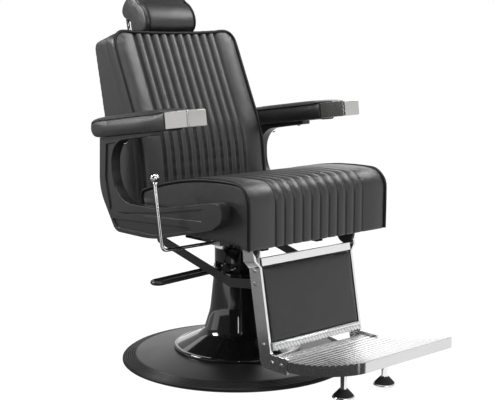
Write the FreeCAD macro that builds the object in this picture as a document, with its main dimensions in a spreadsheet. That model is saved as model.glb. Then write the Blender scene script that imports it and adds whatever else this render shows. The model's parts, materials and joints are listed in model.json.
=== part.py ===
"""Barber chair: a hydraulic swivel chair with a linked reclining back and footrest.

Millimetres, +Z up. The origin is the centre of the round base on the floor, the chair
faces -Y, and the sitter's right hand is on -X.
"""
import FreeCAD, Part
import math
import os
import Sketcher
from FreeCAD import Placement, Rotation, Vector

# Driving dimensions in millimetres and degrees
DIMENSIONS = {
    # fits
    "running_gap": 0.05,
    "end_gap": 0.3,
    "side_gap": 0.6,
    "open_gap": 0.4,
    # round base
    "base_radius": 350.0,
    "rim_width": 40.0,
    "rim_height": 20.0,
    "rim_edge": 7.0,
    "rim_bevel": 9.0,
    "rim_lap": 20.0,
    "plate_wall": 8.0,
    "plate_lift": 4.0,
    "bell_seat": 34.0,
    "hub_radius": 64.0,
    "hub_top": 70.0,
    "bush_wall": 2.5,
    "bush_flange": 3.0,
    "bush_flange_radius": 61.0,
    # bell-shaped pump cover
    "bell_radius": 192.0,
    "bell_lip": 9.0,
    "bell_lip_round": 7.0,
    "bell_wall": 4.0,
    "bell_foot_radius": 104.0,
    "bell_foot_height": 84.0,
    "bell_foot_round": 45.0,
    "bell_waist_radius": 84.0,
    "bell_waist_height": 150.0,
    "bell_waist_round": 200.0,
    "bell_top_radius": 72.4,
    "bell_top": 271.0,
    # hydraulic pump
    "pump_radius": 50.0,
    "pump_collar_radius": 60.0,
    "pump_collar": 6.0,
    "pump_bore": 38.0,
    "pump_floor": 16.0,
    "pump_top": 325.0,
    "gland_height": 14.0,
    "neck_radius": 70.0,
    "neck_wall": 4.0,
    "neck_cap": 4.0,
    "neck_gap": 2.0,
    "neck_arch_width": 90.0,
    "neck_arch_turn": 20.0,
    "neck_arch_rise": 17.0,
    "ram_radius": 28.0,
    "ram_head": 24.0,
    "ram_foot": 60.0,
    # pump pedal
    "pedal_pivot_out": 66.0,
    "pedal_pivot_height": 286.0,
    "pedal_pin_radius": 5.0,
    "pedal_eye_radius": 9.0,
    "pedal_eye_width": 25.0,
    "pedal_ear": 7.0,
    "pedal_ear_reach": 10.0,
    "pedal_bracket_height": 24.0,
    "pedal_bracket_web": 6.0,
    "fork_neck": 26.0,
    "fork_block": 26.0,
    "fork_width": 54.0,
    "fork_thickness": 16.0,
    "loop_rod_radius": 6.5,
    "loop_spacing": 36.0,
    "loop_socket": 18.0,
    "loop_reach": 250.0,
    "pedal_droop": 2.2,
    # seat mount and frame
    "mount_clearance": 2.0,
    "mount_hub_radius": 46.0,
    "mount_hub_height": 25.0,
    "mount_plate": 8.0,
    "mount_depth": 200.0,
    "rail_outer": 120.0,
    "rail_width": 25.0,
    "rail_front": -240.0,
    "rail_rear": 165.0,
    "seat_bottom": 420.0,
    "crossbar_depth": 22.0,
    "crossbar_height": 24.0,
    # footrest hinge, link bars and back hinge: a parallelogram
    "foot_hinge_y": -268.0,
    "foot_hinge_z": 400.0,
    "link_drop": 99.0,
    "link_set_forward": 14.0,
    "back_hinge_y": 169.0,
    "back_hinge_z": 466.0,
    "recline_range": 40.0,
    "hanger_inner": 183.4,
    "hanger_wall": 8.0,
    "hanger_radius": 33.0,
    "foot_pin_radius": 6.0,
    "foot_pin_head_radius": 11.0,
    "foot_pin_head": 5.0,
    "foot_pin_tail": 4.0,
    "link_wall": 6.0,
    "link_half_width": 13.0,
    "link_end": 15.0,
    "link_round": 11.5,
    "link_bend_y": -165.0,
    "link_bend_z": 285.0,
    "link_pin_radius": 7.0,
    "ear_wall": 8.0,
    "ear_radius": 20.0,
    "ear_foot": 70.0,
    "shaft_radius": 10.0,
    "back_arm_inner": 158.0,
    "back_arm_wall": 8.0,
    "back_arm_half_width": 14.0,
    "back_arm_rise": 174.0,
    "back_arm_set_back": 46.0,
    "back_arm_lean": 21.0,
    "back_arm_width": 32.0,
    # recline lock
    "lock_x": 54.0,
    "lock_z": 400.0,
    "lock_radius": 13.0,
    "lock_length": 310.0,
    "lock_bore_depth": 145.0,
    "lock_rod_radius": 6.0,
    "lock_rod_inside": 80.0,
    "lock_eye_width": 11.0,
    "lock_eye_half_depth": 13.0,
    "lock_eye_half_height": 14.0,
    "lock_pin_radius": 5.0,
    "crank_wall": 8.0,
    "crank_half_width": 9.0,
    "crank_hub": 16.0,
    # recline lever
    "lever_y": -94.0,
    "lever_z": 389.0,
    "lever_out": 355.0,
    "lever_height": 200.0,
    "lever_lean": 9.0,
    "lever_rod_radius": 5.0,
    "lever_bend": 14.0,
    "lever_ball_radius": 12.5,
    "lever_ball_socket": 6.0,
    "lever_bracket_length": 46.0,
    "lever_bracket_depth": 38.0,
    "lever_bracket_height": 20.0,
    # seat
    "seat_rear": 113.0,
    "seat_rear_round": 28.0,
    "seat_front": -352.0,
    "seat_top": 590.0,
    "seat_crest_y": -250.0,
    "seat_top_radius": 1100.0,
    "seat_nose_radius": 60.0,
    "seat_lip_drop": 8.0,
    "seat_skin": 30.0,
    "seat_side_skin": 20.0,
    "seat_draw": 5.0,
    "seat_board_wall": 14.0,
    "seat_board_half_width": 238.0,
    "seat_board_inset": 20.0,
    "side_board_wall": 12.0,
    "side_board_front": -290.0,
    "side_board_rear": 93.0,
    "side_board_height": 78.0,
    "arm_slot_margin": 4.0,
    "arm_slot_depth": 37.0,
    "arm_slot_height": 52.0,
    "channel_count": 10,
    "channel_width": 34.0,
    "channel_sink": 4.0,
    "margin_sink": 5.0,
    # arm frames, pads and end blocks
    "spacer_length": 29.0,
    "arm_wall": 32.0,
    "arm_panel_depth": 5.0,
    "arm_rear_top_y": 264.0,
    "arm_tip_y": 8.0,
    "arm_tip_z": 694.0,
    "arm_inner_top_y": 207.0,
    "arm_inner_top_z": 664.0,
    "arm_inner_top_round": 70.0,
    "arm_inner_low_y": 203.0,
    "arm_inner_low_z": 491.0,
    "arm_inner_low_round": 95.0,
    "arm_saddle_y": -4.0,
    "arm_saddle_z": 489.0,
    "arm_saddle_round": 250.0,
    "arm_nose_top_y": -245.0,
    "arm_nose_top_z": 533.0,
    "arm_nose_top_round": 70.0,
    "arm_nose_tip_y": -290.0,
    "arm_nose_tip_z": 537.0,
    "arm_nose_tip_round": 22.0,
    "arm_nose_low_y": -291.0,
    "arm_nose_low_z": 486.0,
    "arm_nose_low_round": 30.0,
    "arm_chin_y": -250.0,
    "arm_chin_z": 460.0,
    "arm_chin_round": 60.0,
    "arm_belly_y": 6.0,
    "arm_belly_z": 399.5,
    "arm_belly_round": 500.0,
    "arm_heel_y": 191.5,
    "arm_heel_z": 399.5,
    "arm_heel_round": 40.0,
    "arm_rear_y": 270.0,
    "arm_rear_z": 517.0,
    "arm_rear_round": 130.0,
    "panel_rear_top_y": 232.0,
    "panel_rear_top_z": 655.0,
    "panel_rear_back_y": 240.0,
    "panel_rear_back_z": 548.0,
    "panel_rear_back_round": 130.0,
    "panel_rear_foot_y": 216.0,
    "panel_rear_foot_z": 458.0,
    "panel_rear_heel_y": 207.0,
    "panel_rear_heel_z": 470.0,
    "panel_rear_waist_y": 216.0,
    "panel_rear_waist_z": 560.0,
    "panel_rear_waist_round": 90.0,
    "panel_rear_neck_y": 212.0,
    "panel_rear_neck_z": 628.0,
    "panel_rear_neck_round": 60.0,
    "panel_rear_tip_y": 182.0,
    "panel_rear_tip_z": 663.0,
    "panel_upper_rear_y": 179.0,
    "panel_upper_rear_z": 456.0,
    "panel_upper_low_y": -207.0,
    "panel_upper_low_z": 479.0,
    "panel_upper_tip_y": -214.0,
    "panel_upper_tip_z": 513.0,
    "panel_upper_top_y": -44.0,
    "panel_upper_top_z": 483.0,
    "panel_upper_top_round": 300.0,
    "panel_lower_rear_y": 205.0,
    "panel_lower_rear_z": 436.0,
    "panel_lower_heel_y": 182.0,
    "panel_lower_heel_z": 411.0,
    "panel_lower_heel_round": 14.0,
    "panel_lower_belly_y": 6.0,
    "panel_lower_belly_z": 412.0,
    "panel_lower_belly_round": 300.0,
    "panel_lower_low_y": -162.0,
    "panel_lower_low_z": 447.0,
    "panel_lower_tip_y": -154.0,
    "panel_lower_tip_z": 455.0,
    "spacer_radius": 18.0,
    "front_spacer_y": -244.0,
    "front_spacer_z": 496.0,
    "rear_spacer_y": 36.0,
    "rear_spacer_z": 452.0,
    "pad_overhang": 11.0,
    "pad_width": 64.0,
    "pad_rear_y": 280.0,
    "pad_front_y": -84.0,
    "pad_bottom_rear": 669.6,
    "pad_slope": 7.3,
    "pad_height": 58.0,
    "pad_crown": 7.0,
    "pad_bulge": 3.0,
    "pad_end_round": 27.0,
    "cap_length": 96.0,
    "cap_height": 46.0,
    "cap_rise": 3.0,
    "cap_plate": 7.0,
    "cap_plate_inset": 1.5,
    # backrest
    "back_side_gap": 39.5,
    "back_bottom_y": 127.5,
    "back_bottom_z": 472.0,
    "back_notch_half_width": 190.0,
    "back_notch_z": 494.0,
    "back_lower_lean": 6.5,
    "back_upper_lean": 24.5,
    "back_lower_length": 150.8,
    "back_bend_radius": 300.0,
    "back_upper_length": 297.6,
    "back_skin": 42.0,
    "back_channel_width": 31.7,
    "back_corner": 40.0,
    "back_dip": 6.0,
    "shell_side_inset": 1.0,
    "shell_bottom_y": 290.3,
    "shell_bottom_z": 470.0,
    "shell_top_y": 393.0,
    "shell_top_z": 944.0,
    "shell_round": 24.0,
    # headrest
    "head_half_width": 100.0,
    "head_swell": 1.5,
    "head_end_round": 14.0,
    "head_end_draw": 7.0,
    "head_front_y": 304.0,
    "head_bottom_z": 977.0,
    "head_jaw_rise": 34.0,
    "head_jaw_depth": 30.0,
    "head_neck_y": 392.0,
    "head_hook_y": 430.0,
    "head_hook_z": 1022.0,
    "head_rear_y": 445.0,
    "head_top_z": 1090.0,
    "post_x": 88.0,
    "post_radius": 5.5,
    "post_set_back": 14.0,
    "post_lean": 12.2,
    "post_in_pad": 26.0,
    "post_below_pad": 225.0,
    "guide_width": 220.0,
    "guide_depth": 26.0,
    "guide_height": 70.0,
    "guide_drop": 120.0,
    # footrest
    "foot_tilt": 10.4,
    "strip_inner": 175.0,
    "strip_wall": 8.0,
    "strip_half_width": 22.5,
    "strip_eye": 17.5,
    "strip_shoulder": 32.0,
    "strip_step": 17.0,
    "strip_step_start": 36.0,
    "strip_step_end": 56.0,
    "strip_floor_z": 74.0,
    "strip_toe_z": 118.0,
    "strip_toe_y": -407.0,
    "strip_heel_round": 24.0,
    "strip_inner_round": 8.0,
    "strip_toe_round": 3.0,
    "screw_radius": 5.0,
    "screw_head": 2.5,
    "screw_upper_down": 63.0,
    "screw_lower_down": 264.0,
    "screw_toe_pitch": 35.5,
    "rail_bar_top": 30.0,
    "rail_bar_height": 22.0,
    "rail_bar_front": 24.0,
    "rail_bar_wall": 9.0,
    "calf_board_wall": 8.0,
    "calf_board_front": 15.0,
    "calf_board_half_width": 165.0,
    "calf_length": 210.0,
    "calf_gap": 0.5,
    "calf_thickness": 7.0,
    "calf_crown": 4.0,
    "heel_height": 22.0,
    "heel_wall": 12.0,
    "board_rear_y": -350.0,
    "board_front_y": -680.0,
    "board_low_y": -335.0,
    "board_low_z": 107.0,
    "board_radius": 950.0,
    "board_wall": 28.0,
    "toe_gap": 4.0,
    "board_band": 8.0,
    "board_corner": 22.0,
    "ridge_count": 15,
    "ridge_height": 3.0,
    "foot_x": 82.0,
    "foot_y": -520.0,
    "foot_floor_gap": 17.0,
    "foot_radius": 31.0,
    "foot_rim": 7.0,
    "foot_cone": 20.0,
    "foot_neck_radius": 11.0,
    "foot_stem_radius": 8.5,
    "foot_stem_in_board": 16.0,
}

# Sizes that follow from the driving ones
DERIVED = {
    "side_board_outer": "seat_board_half_width + side_board_wall",
    "seat_half_width": "side_board_outer + seat_side_skin",
    "arm_inner": "side_board_outer + spacer_length",
    "pad_inner": "arm_inner - pad_overhang",
    "back_half_width": "arm_inner - back_side_gap",
    "shell_half_width": "back_half_width - shell_side_inset",
    "neck_arch_height": "pedal_pivot_height + neck_arch_rise - bell_top - neck_gap",
    "seat_lip": "seat_bottom - seat_lip_drop",
}

RIGHT = -1
LEFT = 1
SIDES = {"right": RIGHT, "left": LEFT}

doc = FreeCAD.newDocument("barber_chair")
sheet = doc.addObject("Spreadsheet::Sheet", "Sizes")
for row, (alias, value) in enumerate(DIMENSIONS.items(), start=1):
    sheet.set(f"A{row}", alias)
    sheet.set(f"B{row}", str(value))
    sheet.setAlias(f"B{row}", alias)
for row, (alias, formula) in enumerate(DERIVED.items(), start=len(DIMENSIONS) + 1):
    sheet.set(f"A{row}", alias)
    sheet.set(f"B{row}", f"={formula}")
    sheet.setAlias(f"B{row}", alias)
doc.recompute()


class Size:
    """A dimension that keeps its number and the spreadsheet expression behind it."""

    def __init__(self, value, text):
        self.value = value
        self.text = text

    def __add__(self, other):
        other = as_size(other)
        return Size(self.value + other.value, f"({self.text} + {other.text})")

    def __sub__(self, other):
        other = as_size(other)
        return Size(self.value - other.value, f"({self.text} - {other.text})")

    def __mul__(self, other):
        other = as_size(other)
        return Size(self.value * other.value, f"({self.text} * {other.text})")

    def __truediv__(self, other):
        other = as_size(other)
        return Size(self.value / other.value, f"({self.text} / {other.text})")

    def __radd__(self, other):
        return as_size(other) + self

    def __rsub__(self, other):
        return as_size(other) - self

    def __rmul__(self, other):
        return as_size(other) * self

    def __neg__(self):
        return Size(-self.value, f"(0 - {self.text})")


class SizeTable:
    """Gives each spreadsheet cell as a Size under its alias."""

    def __getattr__(self, alias):
        return Size(float(sheet.get(alias)), f"Sizes.{alias}")


def as_size(number):
    """A plain number as a Size."""
    if isinstance(number, Size):
        return number
    return Size(float(number), f"({float(number):.6f})")


def sine(angle):
    return Size(math.sin(math.radians(angle.value)), f"sin({angle.text})")


def cosine(angle):
    return Size(math.cos(math.radians(angle.value)), f"cos({angle.text})")


def tangent(angle):
    return Size(math.tan(math.radians(angle.value)), f"tan({angle.text})")


s = SizeTable()
ZERO = as_size(0)
nodes = {}


def bind(target, path, size):
    """Ties a property of a document object to the spreadsheet."""
    target.setExpression(path, as_size(size).text)


def keep(target, label):
    """Marks a document object as a finished sub-part under its label."""
    target.Label = label
    nodes[label] = target
    return target


def place(target, base, axis=None, angle=None):
    """Sets a placement whose base, and angle if any, follow the spreadsheet."""
    if axis is not None:
        target.Placement = Placement(Vector(), Rotation(axis, angle.value))
        bind(target, "Placement.Rotation.Angle", angle)
    for name, size in zip("xyz", base):
        bind(target, f"Placement.Base.{name}", size)
    return target


# Sketch outlines

class Corner:
    """A corner of an outline, with the radius that rounds it."""

    def __init__(self, across, up, radius=None):
        self.across = as_size(across)
        self.up = as_size(up)
        self.radius = None if radius is None else as_size(radius)

    def point(self):
        return Vector(self.across.value, self.up.value, 0)


def new_body(name):
    return doc.addObject("PartDesign::Body", name)


def new_sketch(body, role, offset=None):
    """An empty sketch on one of the body's origin planes, moved along its normal."""
    sketch = body.newObject("Sketcher::SketchObject", f"{body.Name}_sketch")
    plane = next(item for item in body.Origin.OriginFeatures if item.Role == role)
    sketch.AttachmentSupport = [(plane, "")]
    sketch.MapMode = "FlatFace"
    if offset is not None:
        bind(sketch, "AttachmentOffset.Base.z", offset)
    return sketch


def fix_point(sketch, geometry, position, corner):
    """Holds a sketch point at its distances from the sketch's origin."""
    for kind, size in (("DistanceX", corner.across), ("DistanceY", corner.up)):
        number = sketch.addConstraint(
            Sketcher.Constraint(kind, -1, 1, geometry, position, size.value))
        bind(sketch, f"Constraints[{number}]", size)


def draw_outline(sketch, corners, closed=True):
    """Draws straight runs between corners, each rounded corner as a tangent arc."""
    points = [corner.point() for corner in corners]
    count = len(corners)
    run_count = count if closed else count - 1
    headings = [(points[(i + 1) % count] - points[i]).normalize() for i in range(run_count)]
    cuts = []
    for i, corner in enumerate(corners):
        turn = headings[i].getAngle(headings[i - 1]) if corner.radius is not None else 0.0
        cuts.append(corner.radius.value * math.tan(turn / 2) if corner.radius is not None else 0.0)
    runs = []
    for i in range(run_count):
        start = points[i] + headings[i] * cuts[i]
        end = points[(i + 1) % count] - headings[i] * cuts[(i + 1) % count]
        runs.append(sketch.addGeometry(Part.LineSegment(start, end), False))
    for i, corner in enumerate(corners):
        if not closed and i == 0:
            fix_point(sketch, runs[0], 1, corner)
        elif not closed and i == count - 1:
            fix_point(sketch, runs[-1], 2, corner)
        elif corner.radius is None:
            sketch.addConstraint(Sketcher.Constraint("Coincident", runs[i - 1], 2, runs[i], 1))
            fix_point(sketch, runs[i], 1, corner)
        else:
            round_corner(sketch, corner, points[i], headings[i - 1], headings[i], cuts[i],
                         runs[i - 1], runs[i])


def round_corner(sketch, corner, point, heading_in, heading_out, cut, run_in, run_out):
    """Adds one tangent arc and pins the corner that its two runs point at."""
    radius = corner.radius.value
    left_turn = heading_in.cross(heading_out).z > 0
    inward = Vector(-heading_in.y, heading_in.x, 0) * (1 if left_turn else -1)
    touch_in = point - heading_in * cut
    touch_out = point + heading_out * cut
    centre = touch_in + inward * radius
    first, last = (touch_in, touch_out) if left_turn else (touch_out, touch_in)
    start = math.atan2(first.y - centre.y, first.x - centre.x)
    end = math.atan2(last.y - centre.y, last.x - centre.x)
    circle = Part.Circle(centre, Vector(0, 0, 1), radius)
    arc = sketch.addGeometry(Part.ArcOfCircle(circle, start, end), False)
    near, far = (1, 2) if left_turn else (2, 1)
    sketch.addConstraint(Sketcher.Constraint("Tangent", run_in, 2, arc, near))
    sketch.addConstraint(Sketcher.Constraint("Tangent", run_out, 1, arc, far))
    number = sketch.addConstraint(Sketcher.Constraint("Radius", arc, radius))
    bind(sketch, f"Constraints[{number}]", corner.radius)
    mark = sketch.addGeometry(Part.Point(point), True)
    sketch.addConstraint(Sketcher.Constraint("PointOnObject", mark, 1, run_in))
    sketch.addConstraint(Sketcher.Constraint("PointOnObject", mark, 1, run_out))
    fix_point(sketch, mark, 1, corner)


def draw_circle(sketch, across, up, radius):
    """Draws a circle held by its centre and radius."""
    corner = Corner(across, up)
    size = as_size(radius)
    circle = Part.Circle(corner.point(), Vector(0, 0, 1), size.value)
    geometry = sketch.addGeometry(circle, False)
    fix_point(sketch, geometry, 3, corner)
    number = sketch.addConstraint(Sketcher.Constraint("Radius", geometry, size.value))
    bind(sketch, f"Constraints[{number}]", size)


# Ways of making a sub-part

def turned(name, profile):
    """A body turned about the upright axis from a profile of radius and height."""
    body = new_body(name)
    sketch = new_sketch(body, "XZ_Plane")
    draw_outline(sketch, profile)
    turn = body.newObject("PartDesign::Revolution", f"{name}_turn")
    turn.Profile = sketch
    turn.ReferenceAxis = (sketch, ["V_Axis"])
    turn.Angle = 360
    return body


def plate(name, low_x, wall, corners, holes=()):
    """A flat plate square to X, from low_x, with round holes."""
    body = new_body(name)
    sketch = new_sketch(body, "YZ_Plane", low_x)
    draw_outline(sketch, corners)
    for across, up, radius in holes:
        draw_circle(sketch, across, up, radius)
    pad = body.newObject("PartDesign::Pad", f"{name}_pad")
    pad.Profile = sketch
    bind(pad, "Length", wall)
    return body


def add_pin(body, low_x, length, across, up, radius):
    """Adds a round pin along X to a plate."""
    sketch = new_sketch(body, "YZ_Plane", low_x)
    draw_circle(sketch, across, up, radius)
    pad = body.newObject("PartDesign::Pad", f"{body.Name}_pin")
    pad.Profile = sketch
    bind(pad, "Length", length)


def bent_rod(name, role, path, radius):
    """A round rod along an open path of runs and tangent bends in one plane."""
    body = new_body(name)
    spine = new_sketch(body, role)
    draw_outline(spine, path, closed=False)
    section = new_sketch(body, "YZ_Plane", path[0].across)
    draw_circle(section, ZERO if role == "XZ_Plane" else path[0].up,
                path[0].up if role == "XZ_Plane" else ZERO, radius)
    doc.recompute()
    pipe = body.newObject("PartDesign::AdditivePipe", f"{name}_pipe")
    pipe.Profile = section
    pipe.Spine = (spine, [f"Edge{i + 1}" for i in range(len(spine.Shape.Edges))])
    return body


def box(name, low, span):
    """A block from its low corner and its three spans."""
    block = doc.addObject("Part::Box", name)
    for side, size in zip(("Length", "Width", "Height"), span):
        bind(block, side, size)
    return place(block, low)


def cylinder(name, start, direction, radius, length):
    """A round bar from a start point along a row axis."""
    bar = doc.addObject("Part::Cylinder", name)
    bar.Placement = Placement(Vector(), Rotation(Vector(0, 0, 1), direction))
    bind(bar, "Radius", radius)
    bind(bar, "Height", length)
    return place(bar, start)


def fuse(name, pieces):
    joined = doc.addObject("Part::MultiFuse", name)
    joined.Shapes = pieces
    return joined


def cut(name, base, tools):
    """Takes one or more tools out of a base solid."""
    result = doc.addObject("Part::Cut", name)
    result.Base = base
    result.Tool = tools[0] if len(tools) == 1 else fuse(f"{name}_tools", tools)
    return result


def overlap_of(name, first, second):
    common = doc.addObject("Part::Common", name)
    common.Base = first
    common.Tool = second
    return common


def group(name, pieces):
    """Separate solids that share one sub-part, such as a set of screws."""
    gathered = doc.addObject("Part::Compound", name)
    gathered.Links = pieces
    return gathered


def form(name, shape):
    """A soft form whose shape is made from the spreadsheet's numbers."""
    feature = doc.addObject("Part::Feature", name)
    feature.Shape = shape
    return feature


def low_face(side, inner, wall):
    """The low X face of a plate that lies from inner to inner plus wall on one side."""
    return inner if side == LEFT else -(inner + wall)


X_AXIS = Vector(1, 0, 0)
Y_AXIS = Vector(0, 1, 0)
Z_AXIS = Vector(0, 0, 1)


# Round base

def make_base():
    rim_inner = s.base_radius - s.rim_width
    rim_under = s.rim_height - s.plate_wall
    hub_floor = s.plate_lift + s.plate_wall
    hub_bore = s.pump_radius + s.running_gap + s.bush_wall
    keep(turned("base_plate", [
        Corner(ZERO, s.plate_lift),
        Corner(s.hub_radius, s.plate_lift),
        Corner(s.hub_radius, s.bell_seat - s.plate_wall),
        Corner(rim_inner - s.rim_lap, rim_under),
        Corner(rim_inner, rim_under),
        Corner(rim_inner, s.rim_height),
        Corner(s.bell_radius + s.bell_wall, s.bell_seat),
        Corner(s.hub_radius, s.bell_seat),
        Corner(s.hub_radius, s.hub_top),
        Corner(hub_bore, s.hub_top),
        Corner(hub_bore, hub_floor),
        Corner(ZERO, hub_floor)]), "base_plate")
    keep(turned("base_rim", [
        Corner(rim_inner - s.rim_lap, ZERO),
        Corner(s.base_radius, ZERO),
        Corner(s.base_radius, s.rim_edge),
        Corner(s.base_radius - s.rim_bevel, s.rim_edge + s.rim_bevel / 2),
        Corner(rim_inner, s.rim_height),
        Corner(rim_inner, rim_under),
        Corner(rim_inner - s.rim_lap, rim_under)]), "base_rim")
    bush_top = s.hub_top + s.bush_flange
    keep(turned("swivel_bush", [
        Corner(s.pump_radius + s.running_gap, hub_floor),
        Corner(hub_bore, hub_floor),
        Corner(hub_bore, s.hub_top),
        Corner(s.bush_flange_radius, s.hub_top),
        Corner(s.bush_flange_radius, bush_top),
        Corner(s.pump_radius + s.running_gap, bush_top)]), "swivel_bush")
    lip_top = s.bell_seat + s.bell_lip
    half_wall = s.bell_wall / 2
    keep(turned("bell_cover", [
        Corner(s.bell_radius, s.bell_seat),
        Corner(s.bell_radius, lip_top, s.bell_lip_round),
        Corner(s.bell_foot_radius, s.bell_foot_height, s.bell_foot_round),
        Corner(s.bell_waist_radius, s.bell_waist_height, s.bell_waist_round),
        Corner(s.bell_top_radius, s.bell_top),
        Corner(s.bell_top_radius - s.bell_wall, s.bell_top),
        Corner(s.bell_waist_radius - s.bell_wall, s.bell_waist_height, s.bell_waist_round),
        Corner(s.bell_foot_radius - s.bell_wall, s.bell_foot_height - half_wall, s.bell_foot_round),
        Corner(s.bell_radius - s.bell_wall, lip_top - s.bell_wall),
        Corner(s.bell_radius - s.bell_wall, s.bell_seat)]), "bell_cover")


# Hydraulic pump and its pedal

def make_pump():
    collar_low = s.hub_top + s.bush_flange
    foot = s.plate_lift + s.plate_wall + s.end_gap
    bore = s.pump_bore + s.running_gap
    keep(turned("pump_cylinder", [
        Corner(ZERO, foot),
        Corner(s.pump_radius, foot),
        Corner(s.pump_radius, collar_low),
        Corner(s.pump_collar_radius, collar_low),
        Corner(s.pump_collar_radius, collar_low + s.pump_collar),
        Corner(s.pump_radius, collar_low + s.pump_collar),
        Corner(s.pump_radius, s.pump_top),
        Corner(bore, s.pump_top),
        Corner(bore, foot + s.pump_floor),
        Corner(ZERO, foot + s.pump_floor)]), "pump_cylinder")
    gland_top = s.pump_top + s.gland_height
    gland_bore = s.ram_radius + s.running_gap
    keep(turned("pump_gland", [
        Corner(gland_bore, s.pump_top),
        Corner(s.pump_radius, s.pump_top),
        Corner(s.pump_radius, gland_top),
        Corner(gland_bore, gland_top)]), "pump_gland")
    neck_foot = s.bell_top + s.neck_gap
    neck_top = gland_top + s.neck_cap
    cap_bore = s.ram_radius + s.neck_gap
    neck = turned("neck_shell", [
        Corner(s.neck_radius - s.neck_wall, neck_foot),
        Corner(s.neck_radius, neck_foot),
        Corner(s.neck_radius, neck_top),
        Corner(cap_bore, neck_top),
        Corner(cap_bore, gland_top),
        Corner(s.neck_radius - s.neck_wall, gland_top)])
    arch_out = -s.neck_radius - s.neck_wall
    arch_side = -(s.neck_arch_width / 2)
    arch_corner = (arch_out * cosine(s.neck_arch_turn) - arch_side * sine(s.neck_arch_turn),
                   arch_out * sine(s.neck_arch_turn) + arch_side * cosine(s.neck_arch_turn),
                   neck_foot)
    arch = box("neck_arch", arch_corner,
               (s.neck_radius + s.neck_wall - s.pump_radius, s.neck_arch_width, s.neck_arch_height))
    place(arch, arch_corner, Z_AXIS, s.neck_arch_turn)
    keep(cut("neck_cover", neck, [arch]), "neck_cover")
    make_pedal_bracket()
    make_pedal()


def make_pedal_bracket():
    eye_half = s.pedal_eye_width / 2 + s.side_gap
    half = eye_half + s.pedal_ear
    low_z = s.pedal_pivot_height - s.pedal_bracket_height / 2
    outer = -s.pedal_pivot_out - s.pedal_ear_reach
    web_face = -s.pump_radius - s.pedal_bracket_web
    block = box("bracket_block", (outer, -half, low_z),
                (-outer - s.pump_radius + s.pedal_bracket_web, half * 2, s.pedal_bracket_height))
    slot = box("bracket_slot", (outer, -eye_half, low_z),
               (web_face - outer, eye_half * 2, s.pedal_bracket_height))
    barrel = cylinder("bracket_seat", (ZERO, ZERO, low_z), Z_AXIS, s.pump_radius, s.pedal_bracket_height)
    pivot = (-s.pedal_pivot_out, -half, s.pedal_pivot_height)
    hole = cylinder("bracket_hole", pivot, Y_AXIS, s.pedal_pin_radius + s.running_gap, half * 2)
    keep(cut("pedal_bracket", block, [slot, barrel, hole]), "pedal_bracket")
    keep(cylinder("pedal_pin", pivot, Y_AXIS, s.pedal_pin_radius, half * 2), "pedal_pin")


def place_on_pedal(target):
    """Moves a piece made about the pedal's pivot to its place, drooping outwards."""
    return place(target, (-s.pedal_pivot_out, ZERO, s.pedal_pivot_height), Y_AXIS, -s.pedal_droop)


def make_pedal():
    half = s.pedal_eye_width / 2
    thick = s.fork_thickness
    fork_end = -s.fork_neck - s.fork_block
    eye = cylinder("fork_eye", (ZERO, -half, ZERO), Y_AXIS, s.pedal_eye_radius, s.pedal_eye_width)
    neck = box("fork_neck_bar", (-s.fork_neck, -half, -(thick / 2)), (s.fork_neck, s.pedal_eye_width, thick))
    block = box("fork_end_block", (fork_end, -(s.fork_width / 2), -(thick / 2)),
                (s.fork_block, s.fork_width, thick))
    tools = [cylinder("fork_hole", (ZERO, -half, ZERO), Y_AXIS,
                      s.pedal_pin_radius + s.running_gap, s.pedal_eye_width)]
    for name, side in SIDES.items():
        start = (fork_end, s.loop_spacing / 2 * side, ZERO)
        tools.append(cylinder(f"fork_socket_{name}", start, X_AXIS, s.loop_rod_radius, s.loop_socket))
    solid = fuse("fork_solid", [eye, neck, block])
    keep(place_on_pedal(cut("pedal_fork", solid, tools)), "pedal_fork")
    rod_start = fork_end + s.loop_socket
    bend = s.loop_spacing / 2
    loop = bent_rod("pedal_loop", "XY_Plane", [
        Corner(rod_start, -bend),
        Corner(-s.loop_reach, -bend, bend - s.end_gap),
        Corner(-s.loop_reach, bend, bend - s.end_gap),
        Corner(rod_start, bend)], s.loop_rod_radius)
    keep(place_on_pedal(loop), "pedal_loop")


# Lift ram, seat mount and frame

def make_frame():
    mount_low = s.pump_top + s.gland_height + s.neck_cap + s.mount_clearance
    plate_low = mount_low + s.mount_hub_height
    rail_low = plate_low + s.mount_plate
    rail_height = s.seat_bottom - rail_low
    keep(turned("lift_ram", [
        Corner(ZERO, s.ram_foot),
        Corner(s.pump_bore, s.ram_foot),
        Corner(s.pump_bore, s.ram_foot + s.ram_head),
        Corner(s.ram_radius, s.ram_foot + s.ram_head),
        Corner(s.ram_radius, plate_low),
        Corner(ZERO, plate_low)]), "lift_ram")
    hub = cylinder("mount_hub", (ZERO, ZERO, mount_low), Z_AXIS, s.mount_hub_radius, s.mount_hub_height)
    socket = cylinder("mount_socket", (ZERO, ZERO, mount_low), Z_AXIS, s.ram_radius, s.mount_hub_height)
    flat = box("mount_flat", (-s.rail_outer, -(s.mount_depth / 2), plate_low),
               (s.rail_outer * 2, s.mount_depth, s.mount_plate))
    keep(fuse("seat_mount", [cut("mount_ring", hub, [socket]), flat]), "seat_mount")
    for name, side in SIDES.items():
        low_x = low_face(side, s.rail_outer - s.rail_width, s.rail_width)
        keep(box(f"rail_{name}", (low_x, s.rail_front, rail_low),
                 (s.rail_width, s.rail_rear - s.rail_front, rail_height)), f"rail_{name}")
        make_hanger(name, side)
        make_ear(name, side, rail_low)
    keep(box("front_crossbar",
             (-s.hanger_inner, s.rail_front - s.crossbar_depth, s.seat_bottom - s.crossbar_height),
             (s.hanger_inner * 2, s.crossbar_depth, s.crossbar_height)), "front_crossbar")
    make_foot_pins()


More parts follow.
